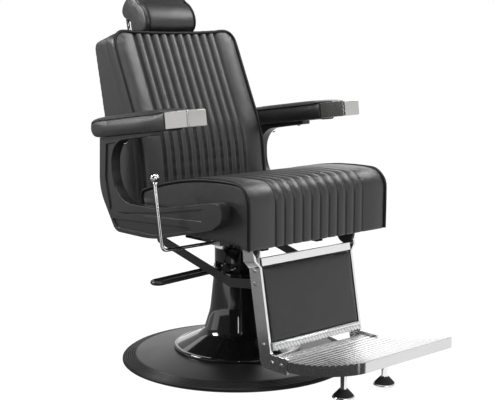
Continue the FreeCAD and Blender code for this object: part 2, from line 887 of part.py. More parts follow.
def make_hanger(name, side):
    """The black plate under the seat's front that the footrest hangs from."""
    front = s.foot_hinge_y - s.hanger_radius
    rear = s.foot_hinge_y + s.hanger_radius
    low = s.foot_hinge_z - s.hanger_radius
    bend = s.hanger_radius - s.end_gap
    keep(plate(f"hanger_{name}", low_face(side, s.hanger_inner, s.hanger_wall), s.hanger_wall, [
        Corner(front, s.seat_bottom),
        Corner(front, low, bend),
        Corner(rear, low, bend),
        Corner(rear, s.seat_bottom)],
        [(s.foot_hinge_y, s.foot_hinge_z, s.foot_pin_radius + s.running_gap)]), f"hanger_{name}")


def strip_outer_inner():
    """The inner X of the strip's stepped-out upper end."""
    return s.strip_inner + s.strip_step


def make_foot_pins():
    """The shoulder bolts that the footrest swings on."""
    pins = []
    head_in = strip_outer_inner() + s.strip_wall + s.side_gap
    for name, side in SIDES.items():
        tail = s.hanger_inner - s.foot_pin_tail
        shank = head_in - tail
        start = (low_face(side, tail, shank), s.foot_hinge_y, s.foot_hinge_z)
        bar = cylinder(f"foot_pin_shank_{name}", start, X_AXIS, s.foot_pin_radius, shank)
        start = (low_face(side, head_in, s.foot_pin_head), s.foot_hinge_y, s.foot_hinge_z)
        head = cylinder(f"foot_pin_head_{name}", start, X_AXIS, s.foot_pin_head_radius, s.foot_pin_head)
        pins.append(fuse(f"foot_pin_{name}", [bar, head]))
    keep(group("footrest_pins", pins), "footrest_pins")


def make_ear(name, side, rail_low):
    """The plate on the outside of a frame rail that carries the back shaft."""
    front = s.back_hinge_y - s.ear_radius
    rear = s.back_hinge_y + s.ear_radius
    top = s.back_hinge_z + s.ear_radius
    bend = s.ear_radius - s.side_gap
    keep(plate(f"back_ear_{name}", low_face(side, s.rail_outer, s.ear_wall), s.ear_wall, [
        Corner(s.rail_rear - s.ear_foot, rail_low),
        Corner(s.rail_rear, rail_low),
        Corner(rear, s.back_hinge_z - s.ear_radius),
        Corner(rear, top, bend),
        Corner(front, top, bend),
        Corner(front, s.seat_bottom - s.side_gap),
        Corner(s.rail_rear - s.ear_foot, s.seat_bottom - s.side_gap)],
        [(s.back_hinge_y, s.back_hinge_z, s.shaft_radius + s.running_gap)]), f"back_ear_{name}")


# Linkage between the back and the footrest

LINK_FRONT_Y = s.foot_hinge_y - s.link_set_forward
LINK_FRONT_Z = s.foot_hinge_z - s.link_drop
LINK_REAR_Y = s.back_hinge_y - s.link_set_forward
LINK_REAR_Z = s.back_hinge_z - s.link_drop


def link_inner():
    """The inner X of a link bar, which runs beside the inner face of its strip."""
    return s.strip_inner - s.side_gap - s.link_wall


def make_links():
    half = s.link_half_width
    bend = s.link_round
    for name, side in SIDES.items():
        keep(plate(f"link_{name}", low_face(side, link_inner(), s.link_wall), s.link_wall, [
            Corner(LINK_FRONT_Y - s.link_end, LINK_FRONT_Z - half, bend),
            Corner(s.link_bend_y, s.link_bend_z - half),
            Corner(LINK_REAR_Y + s.link_end, LINK_REAR_Z - half, bend),
            Corner(LINK_REAR_Y + s.link_end, LINK_REAR_Z + half, bend),
            Corner(s.link_bend_y, s.link_bend_z + half),
            Corner(LINK_FRONT_Y - s.link_end, LINK_FRONT_Z + half, bend)],
            [(LINK_FRONT_Y, LINK_FRONT_Z, s.link_pin_radius + s.running_gap),
             (LINK_REAR_Y, LINK_REAR_Z, s.link_pin_radius + s.open_gap)]), f"link_{name}")


def make_back_arm(name, side):
    """A steel arm from its link lug past the back shaft and up into the shell."""
    half = s.back_arm_half_width
    low_x = low_face(side, s.back_arm_inner, s.back_arm_wall)
    elbow_z = s.back_hinge_z + s.ear_radius
    stem_front = s.back_hinge_y + s.back_arm_set_back
    stem_top = s.back_hinge_z + s.back_arm_rise
    lug_low = LINK_REAR_Z - half
    lug_round = half - s.end_gap
    arm = plate(f"back_arm_{name}", low_x, s.back_arm_wall, [
        Corner(stem_front + s.back_arm_lean, stem_top),
        Corner(stem_front, elbow_z),
        Corner(s.back_hinge_y - half, elbow_z, s.shaft_radius),
        Corner(s.back_hinge_y - s.ear_radius, s.back_hinge_z - half),
        Corner(LINK_REAR_Y - half, lug_low, lug_round),
        Corner(LINK_REAR_Y + half, lug_low, lug_round),
        Corner(s.back_hinge_y + s.ear_radius, s.back_hinge_z - half),
        Corner(stem_front + s.back_arm_width, elbow_z - half),
        Corner(stem_front + s.back_arm_lean + s.back_arm_width, stem_top)],
        [(s.back_hinge_y, s.back_hinge_z, s.shaft_radius)])
    outer = s.back_arm_inner + s.back_arm_wall
    length = link_inner() + s.link_wall - outer
    add_pin(arm, low_face(side, outer, length), length, LINK_REAR_Y, LINK_REAR_Z, s.link_pin_radius)
    return keep(arm, f"back_arm_{name}")


# Recline lock

def make_lock():
    half_swing = s.recline_range / 2
    reach = s.back_hinge_z - s.lock_z
    pin_y = s.back_hinge_y + reach * sine(half_swing)
    pin_z = s.back_hinge_z - reach * cosine(half_swing)
    cyl_start = (s.lock_x, s.rail_front, s.lock_z)
    bore_start = (s.lock_x, s.rail_front + s.lock_length - s.lock_bore_depth, s.lock_z)
    barrel = cylinder("lock_barrel", cyl_start, Y_AXIS, s.lock_radius, s.lock_length)
    bore = cylinder("lock_bore", bore_start, Y_AXIS, s.lock_rod_radius + s.running_gap, s.lock_bore_depth)
    keep(cut("lock_cylinder", barrel, [bore]), "lock_cylinder")

    rod_start = s.rail_front + s.lock_length - s.lock_rod_inside
    eye_front = pin_y - s.lock_eye_half_depth
    rod = cylinder("lock_rod_bar", (s.lock_x, rod_start, s.lock_z), Y_AXIS,
                   s.lock_rod_radius, eye_front - rod_start)
    eye_low_x = s.lock_x - s.lock_eye_width / 2
    eye = box("lock_eye", (eye_low_x, eye_front, s.lock_z - s.lock_eye_half_height),
              (s.lock_eye_width, s.lock_eye_half_depth * 2, s.lock_eye_half_height * 2))
    slot_half = s.lock_pin_radius + s.open_gap
    slot_low = s.lock_z - slot_half
    slot = box("lock_slot", (eye_low_x, pin_y - slot_half, slot_low),
               (s.lock_eye_width, slot_half * 2, pin_z + slot_half - slot_low))
    keep(cut("lock_rod", fuse("lock_rod_solid", [rod, eye]), [slot]), "lock_rod")

    crank_x = eye_low_x - s.side_gap - s.crank_wall
    toe = s.crank_half_width - s.end_gap
    toe_drop = s.crank_half_width * cosine(half_swing)
    toe_side = s.crank_half_width * (cosine(half_swing) + sine(half_swing))
    toe_skew = s.crank_half_width * (cosine(half_swing) - sine(half_swing))
    top = s.back_hinge_z + s.crank_hub
    crank = plate("back_crank", crank_x, s.crank_wall, [
        Corner(s.back_hinge_y - s.crank_hub, top, s.crank_half_width),
        Corner(s.back_hinge_y - s.crank_hub, s.back_hinge_z),
        Corner(pin_y - toe_skew, pin_z - toe_drop - (toe_side - toe_drop), toe),
        Corner(pin_y + toe_side, pin_z - toe_drop + (toe_side - toe_drop), toe),
        Corner(s.back_hinge_y + s.crank_hub, s.back_hinge_z),
        Corner(s.back_hinge_y + s.crank_hub, top, s.crank_half_width)],
        [(s.back_hinge_y, s.back_hinge_z, s.shaft_radius)])
    pin_length = s.side_gap * 2 + s.lock_eye_width
    add_pin(crank, crank_x + s.crank_wall, pin_length, pin_y, pin_z, s.lock_pin_radius)
    keep(crank, "back_crank")


# Recline lever

def place_on_lever(target):
    """Moves a piece made about the lever's axis to its place, leaning back."""
    return place(target, (ZERO, s.lever_y, s.lever_z), X_AXIS, -s.lever_lean)


def make_lever():
    bracket_low = (-s.rail_outer - s.lever_bracket_length,
                   s.lever_y - s.lever_bracket_depth / 2,
                   s.lever_z - s.lever_bracket_height / 2)
    block = box("lever_block", bracket_low,
                (s.lever_bracket_length, s.lever_bracket_depth, s.lever_bracket_height))
    hole = cylinder("lever_hole", (-s.rail_outer - s.lever_bracket_length, s.lever_y, s.lever_z), X_AXIS,
                    s.lever_rod_radius + s.running_gap, s.lever_bracket_length)
    keep(cut("lever_bracket", block, [hole]), "lever_bracket")
    ball_low = s.lever_height - s.lever_ball_radius
    rod = bent_rod("lever_rod", "XZ_Plane", [
        Corner(-s.rail_outer - s.end_gap, ZERO),
        Corner(-s.lever_out, ZERO, s.lever_bend),
        Corner(-s.lever_out, ball_low + s.lever_ball_socket)], s.lever_rod_radius)
    keep(place_on_lever(rod), "lever_rod")
    ball = doc.addObject("Part::Sphere", "lever_ball")
    bind(ball, "Radius", s.lever_ball_radius)
    place(ball, (-s.lever_out, ZERO, s.lever_height))
    socket = cylinder("lever_socket", (-s.lever_out, ZERO, ball_low), Z_AXIS,
                      s.lever_rod_radius, s.lever_ball_socket)
    keep(place_on_lever(cut("lever_knob", ball, [socket])), "lever_knob")


# Soft forms: channelled cushions swept along their side profiles

def arc_between(first, last, bulge):
    """An arc from first to last whose middle stands off the chord by the bulge vector."""
    middle = (first + last) * 0.5 + bulge
    return Part.Arc(first, middle, last).toShape()


def channelled_section(half_width, pitch, skin, origin, outward):
    """A cushion's cross-section: plain crowned margins either side of sewn channels.

    The section stands in the plane of X and the outward direction, from the line
    through origin to one skin thickness outside it.
    """
    sink = outward * s.channel_sink.value
    top = origin + outward * skin
    quilt = pitch * s.channel_count.value / 2
    edge_drop = outward * s.margin_sink.value
    corner = Vector(half_width, 0, 0)
    seams = [top - sink + X_AXIS * (pitch * i - quilt)
             for i in range(int(s.channel_count.value) + 1)]
    edge_low = top - edge_drop - corner
    edge_high = top - edge_drop + corner
    edges = [arc_between(edge_low, seams[0], outward * s.margin_sink.value)]
    for left, right in zip(seams, seams[1:]):
        edges.append(arc_between(left, right, sink))
    edges.append(arc_between(seams[-1], edge_high, outward * s.margin_sink.value))
    edges.append(Part.makeLine(edge_high, origin + corner))
    edges.append(Part.makeLine(origin + corner, origin - corner))
    edges.append(Part.makeLine(origin - corner, edge_low))
    return Part.Face(Part.Wire(edges))


def sweep(face, steps):
    """Carries a section along straight runs and arcs about X, as one solid.

    Each step is ("run", direction, length) or ("turn", centre, degrees).
    """
    pieces = []
    for kind, where, amount in steps:
        if kind == "run":
            move = where * amount
            pieces.append(face.extrude(move))
            face = face.translated(move)
        else:
            pieces.append(face.revolve(where, X_AXIS, amount))
            face = face.rotated(where, X_AXIS, amount)
    return pieces


def extrude_profile(edges, half_width):
    """A side profile in the YZ plane, drawn out equally to both sides."""
    face = Part.Face(Part.Wire(edges))
    return face.translated(Vector(-half_width, 0, 0)).extrude(Vector(2 * half_width, 0, 0))


def join(pieces):
    """One clean solid from touching or overlapping pieces."""
    return pieces[0].multiFuse(pieces[1:]).removeSplitter()


def seat_form():
    """The seat: a gently falling top, a waterfall nose, channels and drawn-in sides."""
    skin = s.seat_skin.value
    half_width = s.seat_half_width.value
    crest_y = s.seat_crest_y.value
    top = s.seat_top.value
    radius = s.seat_top_radius.value
    nose = s.seat_nose_radius.value
    front = s.seat_front.value
    rear = s.seat_rear.value
    lip = s.seat_lip.value
    bottom = s.seat_bottom.value
    centre = Vector(0, crest_y, top - radius)
    fall = math.degrees(math.asin((rear - crest_y) / (radius - skin)))
    rear_out = Vector(0, math.sin(math.radians(fall)), math.cos(math.radians(fall)))
    rear_in = centre + rear_out * (radius - skin)
    nose_centre = Vector(0, front + nose, top - nose)
    run = crest_y - nose_centre.y
    section = channelled_section(half_width, s.channel_width.value, skin, rear_in, rear_out)
    pieces = sweep(section, [
        ("turn", centre, fall),
        ("run", Vector(0, -1, 0), run),
        ("turn", nose_centre, 90.0),
        ("run", Vector(0, 0, -1), nose_centre.z - lip)])
    crest_in = Vector(0, crest_y, top - skin)
    half_out = Vector(0, math.sin(math.radians(fall / 2)), math.cos(math.radians(fall / 2)))
    nose_in = nose - skin
    slant = nose_in * math.sqrt(0.5)
    core = extrude_profile([
        Part.Arc(rear_in, centre + half_out * (radius - skin), crest_in).toShape(),
        Part.makeLine(crest_in, Vector(0, nose_centre.y, top - skin)),
        Part.Arc(Vector(0, nose_centre.y, top - skin), nose_centre + Vector(0, -slant, slant),
                 Vector(0, front + skin, nose_centre.z)).toShape(),
        Part.makeLine(Vector(0, front + skin, nose_centre.z), Vector(0, front + skin, lip)),
        Part.makeLine(Vector(0, front + skin, lip), Vector(0, front + skin + bottom - lip, bottom)),
        Part.makeLine(Vector(0, front + skin + bottom - lip, bottom), Vector(0, rear, bottom)),
        Part.makeLine(Vector(0, rear, bottom), rear_in)], half_width)
    body = join([core] + pieces).common(drawn_in_plan(half_width, front, rear, lip, top))
    return body.cut(rear_edge_tool(rear_in + rear_out * skin, rear_out, half_width))


def rear_edge_tool(corner, outward, half_width):
    """What is cut away to round the seat's top rear edge."""
    radius = s.seat_rear_round.value
    ahead = Vector(0, -outward.z, outward.y)
    centre = corner + (ahead - outward) * radius
    first = corner + ahead * radius
    last = corner - outward * radius
    middle = centre - (ahead - outward) * (radius * math.sqrt(0.5))
    over = first + outward * radius
    beyond = last - ahead * radius
    return extrude_profile([
        Part.Arc(first, middle, last).toShape(),
        Part.makeLine(last, beyond),
        Part.makeLine(beyond, corner + (outward - ahead) * radius),
        Part.makeLine(corner + (outward - ahead) * radius, over),
        Part.makeLine(over, first)], half_width)


def drawn_in_plan(half_width, front, rear, low, high):
    """A prism over the seat whose two sides pull in between their corners."""
    draw = s.seat_draw.value
    reach = s.seat_skin.value
    edge = half_width - s.side_gap.value
    corners = [Vector(edge, front - reach, low - reach), Vector(edge, rear + reach, low - reach),
               Vector(-edge, rear + reach, low - reach), Vector(-edge, front - reach, low - reach)]
    edges = [arc_between(corners[0], corners[1], Vector(-draw, 0, 0)),
             Part.makeLine(corners[1], corners[2]),
             arc_between(corners[2], corners[3], Vector(draw, 0, 0)),
             Part.makeLine(corners[3], corners[0])]
    return Part.Face(Part.Wire(edges)).extrude(Vector(0, 0, high - low + 2 * reach))


def make_seat():
    board_front = s.seat_front + s.seat_skin * 2 + s.seat_board_inset
    board_rear = s.seat_rear
    slots = []
    for name, side in SIDES.items():
        width = s.back_arm_wall + s.arm_slot_margin * 2
        low_x = low_face(side, s.back_arm_inner - s.arm_slot_margin, width)
        slots.append(box(f"arm_slot_{name}", (low_x, s.seat_rear - s.arm_slot_depth, s.seat_bottom),
                         (width, s.arm_slot_depth + s.seat_skin, s.arm_slot_height)))
    board = box("seat_board_blank", (-s.seat_board_half_width, board_front, s.seat_bottom),
                (s.seat_board_half_width * 2, board_rear - board_front, s.seat_board_wall))
    keep(cut("seat_board", board, slots), "seat_board")
    sides = []
    spacers = []
    for name, side in SIDES.items():
        low_x = low_face(side, s.seat_board_half_width, s.side_board_wall)
        sides.append(box(f"side_board_{name}",
                         (low_x, s.side_board_front, s.seat_bottom),
                         (s.side_board_wall, s.side_board_rear - s.side_board_front, s.side_board_height)))
        low_x = low_face(side, s.side_board_outer, s.spacer_length)
        for where, across, up in (("front", s.front_spacer_y, s.front_spacer_z),
                                  ("rear", s.rear_spacer_y, s.rear_spacer_z)):
            spacers.append(cylinder(f"spacer_{where}_{name}", (low_x, across, up), X_AXIS,
                                    s.spacer_radius, s.spacer_length))
    keep(group("seat_side_boards", sides), "seat_side_boards")
    keep(group("arm_spacers", spacers), "arm_spacers")
    raw = form("seat_form", seat_form())
    keep(cut("seat_cushion", raw, [board] + slots + sides + spacers), "seat_cushion")


# Backrest

def back_path():
    """The backrest's front line: start, bend start, bend centre, bend end and top."""
    low_lean = math.radians(s.back_lower_lean.value)
    high_lean = math.radians(s.back_upper_lean.value)
    low_up = Vector(0, math.sin(low_lean), math.cos(low_lean))
    high_up = Vector(0, math.sin(high_lean), math.cos(high_lean))
    low_back = Vector(0, math.cos(low_lean), -math.sin(low_lean))
    high_back = Vector(0, math.cos(high_lean), -math.sin(high_lean))
    start = Vector(0, s.back_bottom_y.value, s.back_bottom_z.value)
    bend = start + low_up * s.back_lower_length.value
    centre = bend + low_back * s.back_bend_radius.value
    end = centre - high_back * s.back_bend_radius.value
    top = end + high_up * s.back_upper_length.value
    return start, bend, centre, end, top, low_up, high_up, low_back, high_back


def back_outline(half_width, low, high):
    """The backrest seen from the front: round top corners and a top edge that dips."""
    corner = s.back_corner.value
    slant = corner * (1 - math.sqrt(0.5))
    dip = Vector(0, 0, -s.back_dip.value)
    y = -half_width
    points = [Vector(-half_width, y, low), Vector(half_width, y, low),
              Vector(half_width, y, high - corner), Vector(half_width - corner, y, high),
              Vector(corner - half_width, y, high), Vector(-half_width, y, high - corner)]
    edges = [Part.makeLine(points[0], points[1]),
             Part.makeLine(points[1], points[2]),
             Part.Arc(points[2], Vector(half_width - slant, y, high - slant), points[3]).toShape(),
             arc_between(points[3], points[4], dip),
             Part.Arc(points[4], Vector(slant - half_width, y, high - slant), points[5]).toShape(),
             Part.makeLine(points[5], points[0])]
    return Part.Face(Part.Wire(edges)).extrude(Vector(0, 4 * half_width, 0))


def back_cushion_form():
    start, bend, centre, end, top, low_up, high_up, low_back, _ = back_path()
    skin = s.back_skin.value
    turn = s.back_upper_lean.value - s.back_lower_lean.value
    section = channelled_section(s.back_half_width.value, s.back_channel_width.value, skin,
                                 start + low_back * skin, -low_back)
    pieces = sweep(section, [
        ("run", low_up, s.back_lower_length.value),
        ("turn", centre, -turn),
        ("run", high_up, s.back_upper_length.value)])
    return join(pieces).common(back_outline(s.back_half_width.value, start.z - skin, top.z))


def back_shell_form():
    start, bend, centre, end, top, low_up, high_up, low_back, high_back = back_path()
    skin = s.back_skin.value
    low = start + low_back * skin
    bend_low = bend + low_back * skin
    bend_high = end + high_back * skin
    middle = (low_back + high_back).normalize()
    bend_middle = centre - middle * (s.back_bend_radius.value - skin)
    high = top + high_back * skin
    rear_low = Vector(0, s.shell_bottom_y.value, s.shell_bottom_z.value)
    rear_high = Vector(0, s.shell_top_y.value, s.shell_top_z.value)
    rear_up = (rear_high - rear_low).normalize()
    forward = (high - rear_high).normalize()
    corner = s.shell_round.value
    arc_low = rear_high - rear_up * corner
    arc_high = rear_high + forward * corner
    arc_middle = (arc_low + arc_high) * 0.5 + (rear_high - (arc_low + arc_high) * 0.5) * 0.55
    body = extrude_profile([
        Part.makeLine(low, bend_low),
        Part.Arc(bend_low, bend_middle, bend_high).toShape(),
        Part.makeLine(bend_high, high),
        Part.makeLine(high, arc_high),
        Part.Arc(arc_high, arc_middle, arc_low).toShape(),
        Part.makeLine(arc_low, rear_low),
        Part.makeLine(rear_low, low)], s.shell_half_width.value)
    return body.common(back_outline(s.shell_half_width.value, start.z - skin, top.z))


def make_back():
    keep(cylinder("back_shaft", (-s.back_arm_inner - s.back_arm_wall, s.back_hinge_y, s.back_hinge_z),
                  X_AXIS, s.shaft_radius, (s.back_arm_inner + s.back_arm_wall) * 2), "back_shaft")
    arms = [make_back_arm(name, side) for name, side in SIDES.items()]
    notch = box("back_notch",
                (-s.back_notch_half_width, s.back_bottom_y - s.back_skin, s.back_bottom_z - s.back_skin),
                (s.back_notch_half_width * 2, s.shell_bottom_y - s.back_bottom_y + s.back_skin * 2,
                 s.back_notch_z - s.back_bottom_z + s.back_skin))
    cushion = form("back_cushion_form", back_cushion_form())
    keep(cut("back_cushion", cushion, [notch]), "back_cushion")
    shell = form("back_shell_form", back_shell_form())
    keep(cut("back_shell", shell, arms + [notch]), "back_shell")


# Headrest

def post_foot():
    """The point on the posts' line level with the shell's top rear corner, and its lean."""
    lean = s.post_lean
    y = s.shell_top_y + s.post_set_back / cosine(lean)
    return y, s.shell_top_z


def place_on_post(target):
    """Moves a piece made about the posts' line to its place, leaning back."""
    y, z = post_foot()
    return place(target, (ZERO, y, z), X_AXIS, -s.post_lean)


def make_headrest():
    hook_up = s.head_hook_z - s.shell_top_z
    entry = hook_up / cosine(s.post_lean)
    length = s.post_below_pad + s.post_in_pad
    posts = []
    bores = []
    guide_low = -s.guide_drop
    for name, side in SIDES.items():
        posts.append(cylinder(f"post_{name}", (s.post_x * side, ZERO, entry - s.post_below_pad), Z_AXIS,
                              s.post_radius, length))
        bores.append(cylinder(f"guide_bore_{name}", (s.post_x * side, ZERO, guide_low), Z_AXIS,
                              s.post_radius + s.running_gap, s.guide_height))
    keep(place_on_post(group("headrest_posts", posts)), "headrest_posts")
    block = box("guide_block", (-(s.guide_width / 2), -s.post_set_back, guide_low),
                (s.guide_width, s.guide_depth, s.guide_height))
    keep(place_on_post(cut("headrest_guide", block, bores)), "headrest_guide")
    pad = form("headrest_form", headrest_form())
    keep(cut("headrest_pad", pad, [nodes["headrest_posts"]]), "headrest_pad")


def headrest_profile(x, swell):
    """The headrest's kidney-shaped side view, grown all round by about the swell."""
    front = s.head_front_y.value
    low = s.head_bottom_z.value
    high = s.head_top_z.value
    rear = s.head_rear_y.value
    neck = s.head_neck_y.value
    hook = Vector(x, s.head_hook_y.value, s.head_hook_z.value)
    depth = rear - front
    height = high - low
    jaw = Vector(x, front, low + s.head_jaw_rise.value)
    chin = Vector(x, front + s.head_jaw_depth.value, low)
    slant = math.sqrt(0.5)
    cheek_low = Vector(x, front + s.head_jaw_depth.value * (1 - slant), low + s.head_jaw_rise.value * (1 - slant))
    brow = Vector(x, front + 0.34 * depth, high - 0.16 * height)
    crown = Vector(x, front + 0.62 * depth, high)
    nape = Vector(x, rear - 0.08 * depth, high - 0.2 * height)
    bulge = Vector(x, rear, high - 0.45 * height)
    cheek = Vector(x, front + 0.09 * depth, low + 0.6 * height)
    heel = Vector(x, neck, low)
    throat = Vector(x, neck + 0.04 * depth, hook.z - 0.06 * height)
    edges = [Part.Arc(chin, cheek_low, jaw).toShape(),
             Part.Arc(jaw, cheek, brow).toShape(),
             Part.Arc(brow, crown, nape).toShape(),
             Part.Arc(nape, bulge, hook).toShape(),
             Part.makeLine(hook, throat),
             Part.makeLine(throat, heel),
             Part.makeLine(heel, chin)]
    wire = Part.Wire(edges)
    middle = Vector(x, (front + rear) / 2, (low + high) / 2)
    return wire.scaled(1 + 2 * swell / height, middle)


def headrest_form():
    """The headrest: its side view carried across, rounded in at both ends."""
    half_width = s.head_half_width.value
    full = half_width - s.head_end_round.value
    draw = s.head_end_draw.value
    ends = [(-half_width, -draw), (-half_width + s.head_end_round.value * 0.3, -draw * 0.45), (-full, 0)]
    stations = ends + [(0, s.head_swell.value)] + [(-x, swell) for x, swell in reversed(ends)]
    return Part.makeLoft([headrest_profile(x, swell) for x, swell in stations], True, True)


# Arm frames, arm pads and end blocks

def pad_under(y):
    """The height of the arm pad's sloping underside at a given y."""
    return s.pad_bottom_rear + (s.pad_rear_y - y) * tangent(s.pad_slope)


ARM_CORNERS = ["inner_top", "inner_low", "saddle", "nose_top", "nose_tip", "nose_low", "chin", "belly",
               "heel", "rear"]
ARM_PANELS = {
    "rear": ["top", "back", "foot", "heel", "waist", "neck", "tip"],
    "upper": ["rear", "low", "tip", "top"],
    "lower": ["rear", "heel", "belly", "low", "tip"],
}


def named_corner(name):
    """The corner whose place, and rounding if it has one, stand in the sheet under its name."""
    radius = getattr(s, f"{name}_round") if f"{name}_round" in DIMENSIONS else None
    return Corner(getattr(s, f"{name}_y"), getattr(s, f"{name}_z"), radius)


def arm_outline():
    """The C-shaped arm seen from the side, from its rear top round to its upper tip."""
    upper = [Corner(s.arm_rear_top_y, pad_under(s.arm_rear_top_y)),
             Corner(s.arm_tip_y, pad_under(s.arm_tip_y)),
             Corner(s.arm_tip_y, s.arm_tip_z)]
    return upper + [named_corner(f"arm_{name}") for name in ARM_CORNERS]


def make_arm(name, side):
    outer = s.arm_inner + s.arm_wall
    arm = plate(f"arm_{name}", low_face(side, s.arm_inner, s.arm_wall), s.arm_wall, arm_outline())
    for panel, corners in ARM_PANELS.items():
        sketch = new_sketch(arm, "YZ_Plane", outer * side)
        draw_outline(sketch, [named_corner(f"panel_{panel}_{corner}") for corner in corners])
        pocket = arm.newObject("PartDesign::Pocket", f"arm_{name}_{panel}_panel")
        pocket.Profile = sketch
        pocket.Reversed = side == RIGHT
        bind(pocket, "Length", s.arm_panel_depth)
    keep(arm, f"arm_{name}")


def place_on_pad(target, side):
    """Moves a piece made along the pad's underside to its place, rising to the front."""
    x = s.pad_inner if side == LEFT else -(s.pad_inner + s.pad_width)
    return place(target, (x, s.pad_rear_y, s.pad_bottom_rear), X_AXIS, -s.pad_slope)


def pad_form():
    """An arm pad along -Y: crowned top, bulging flanks and rounded rear end."""
    width = s.pad_width.value
    height = s.pad_height.value
    length = (s.pad_rear_y.value - s.pad_front_y.value) / math.cos(math.radians(s.pad_slope.value))
    shoulder = height - s.pad_crown.value
    bulge = s.pad_bulge.value
    corners = [Vector(bulge, 0, 0), Vector(width - bulge, 0, 0), Vector(width - bulge, 0, shoulder),
               Vector(bulge, 0, shoulder)]
    section = Part.Face(Part.Wire([
        Part.makeLine(corners[0], corners[1]),
        arc_between(corners[1], corners[2], Vector(bulge, 0, 0)),
        arc_between(corners[2], corners[3], Vector(0, 0, s.pad_crown.value)),
        arc_between(corners[3], corners[0], Vector(-bulge, 0, 0))]))
    bar = section.extrude(Vector(0, -length, 0))
    bend = s.pad_end_round.value
    slant = bend * (1 - math.sqrt(0.5))
    side_view = Part.Face(Part.Wire([
        Part.makeLine(Vector(0, -length, 0), Vector(0, -bend, 0)),
        Part.Arc(Vector(0, -bend, 0), Vector(0, -slant, slant), Vector(0, 0, bend)).toShape(),
        Part.makeLine(Vector(0, 0, bend), Vector(0, 0, height - bend)),
        Part.Arc(Vector(0, 0, height - bend), Vector(0, -slant, height - slant),
                 Vector(0, -bend, height)).toShape(),
        Part.makeLine(Vector(0, -bend, height), Vector(0, -length, height)),
        Part.makeLine(Vector(0, -length, height), Vector(0, -length, 0))]))
    return bar.common(side_view.extrude(Vector(width, 0, 0)))


def make_arm_rest(name, side):
    pad = form(f"arm_pad_{name}", pad_form())
    keep(place_on_pad(pad, side), f"arm_pad_{name}")
    start = -((s.pad_rear_y - s.pad_front_y) / cosine(s.pad_slope))
    block = box(f"arm_end_{name}", (ZERO, start - s.cap_length, s.cap_rise),
                (s.pad_width, s.cap_length, s.cap_height))
    keep(place_on_pad(group(f"arm_end_block_{name}", [block]), side), f"arm_end_{name}")
    inset = s.cap_plate_inset
    face = box(f"arm_front_{name}", (inset, start - s.cap_length - s.cap_plate, s.cap_rise + inset),
               (s.pad_width - inset * 2, s.cap_plate, s.cap_height - inset * 2))
    return place_on_pad(group(f"arm_front_plate_{name}", [face]), side)


def make_arms():
    plates = []
    for name, side in SIDES.items():
        make_arm(name, side)
        plates.append(make_arm_rest(name, side))
    keep(group("arm_front_plates", plates), "arm_front_plates")


# Footrest

def place_on_footrest(target):
    """Moves a piece made about the footrest's hinge to its place, with its tilt."""
    return place(target, (ZERO, s.foot_hinge_y, s.foot_hinge_z), X_AXIS, -s.foot_tilt)


def foot_corner(y, z, radius=None):
    """A corner given in the chair's own Y and Z, in the tilted footrest's frame."""
    away = y - s.foot_hinge_y
    above = z - s.foot_hinge_z
    return Corner(away * cosine(s.foot_tilt) - above * sine(s.foot_tilt),
                  away * sine(s.foot_tilt) + above * cosine(s.foot_tilt), radius)


def heel_y():
    """Where the strip's rear edge would meet its floor line."""
    return (s.foot_hinge_y + s.strip_half_width / cosine(s.foot_tilt)
            - (s.foot_hinge_z - s.strip_floor_z) * tangent(s.foot_tilt))


def instep_y():
    """Where the strip's front edge meets the top of its toe."""
    return (s.foot_hinge_y - s.strip_half_width / cosine(s.foot_tilt)
            - (s.foot_hinge_z - s.strip_toe_z) * tangent(s.foot_tilt))


def make_strip(name, side):
    """An L-shaped aluminium strip whose upper end steps outwards to its hinge."""
    outer = s.strip_inner + s.strip_wall
    far = outer + s.strip_step
    half = s.strip_half_width
    width = far - s.strip_inner
    eye = s.strip_eye
    eye_round = eye - s.end_gap
    flat = plate(f"strip_flat_{name}", low_face(side, s.strip_inner, width), width, [
        Corner(half, -s.strip_shoulder),
        Corner(eye, eye, eye_round),
        Corner(-eye, eye, eye_round),
        Corner(-half, -s.strip_shoulder),
        foot_corner(instep_y(), s.strip_toe_z, s.strip_inner_round),
        foot_corner(s.strip_toe_y, s.strip_toe_z, s.strip_toe_round),
        foot_corner(s.strip_toe_y, s.strip_floor_z, s.strip_toe_round),
        foot_corner(heel_y(), s.strip_floor_z, s.strip_heel_round)],
        [(ZERO, ZERO, s.foot_pin_radius + s.running_gap)])
    bend = new_body(f"strip_bend_{name}")
    sketch = new_sketch(bend, "XZ_Plane", -(half + eye))
    low = -(s.foot_hinge_z - s.strip_floor_z) - half
    profile = [(s.strip_inner, low), (s.strip_inner, -s.strip_step_end),
               (s.strip_inner + s.strip_step, -s.strip_step_start),
               (s.strip_inner + s.strip_step, half), (far, half), (far, -s.strip_step_start),
               (outer, -s.strip_step_end), (outer, low)]
    draw_outline(sketch, [Corner(across * side, up) for across, up in profile])
    pad = bend.newObject("PartDesign::Pad", f"strip_bend_pad_{name}")
    pad.Profile = sketch
    bind(pad, "Length", s.foot_hinge_y - s.strip_toe_y + half * 4)
    strip = overlap_of(f"strip_sheet_{name}", flat, bend)
    pin_length = s.link_wall + s.side_gap
    pin_y = LINK_FRONT_Y
    pin_z = LINK_FRONT_Z
    place_on_footrest(strip)
    pin = cylinder(f"strip_pin_{name}", (low_face(side, s.strip_inner - pin_length, pin_length), pin_y, pin_z),
                   X_AXIS, s.link_pin_radius, pin_length)
    keep(fuse(f"strip_{name}", [strip, pin]), f"strip_{name}")


def on_strip(down, forward=ZERO):
    """A point in the chair's Y and Z, measured along the tilted strip from its hinge."""
    return (s.foot_hinge_y - down * sine(s.foot_tilt) - forward * cosine(s.foot_tilt),
            s.foot_hinge_z - down * cosine(s.foot_tilt) + forward * sine(s.foot_tilt))


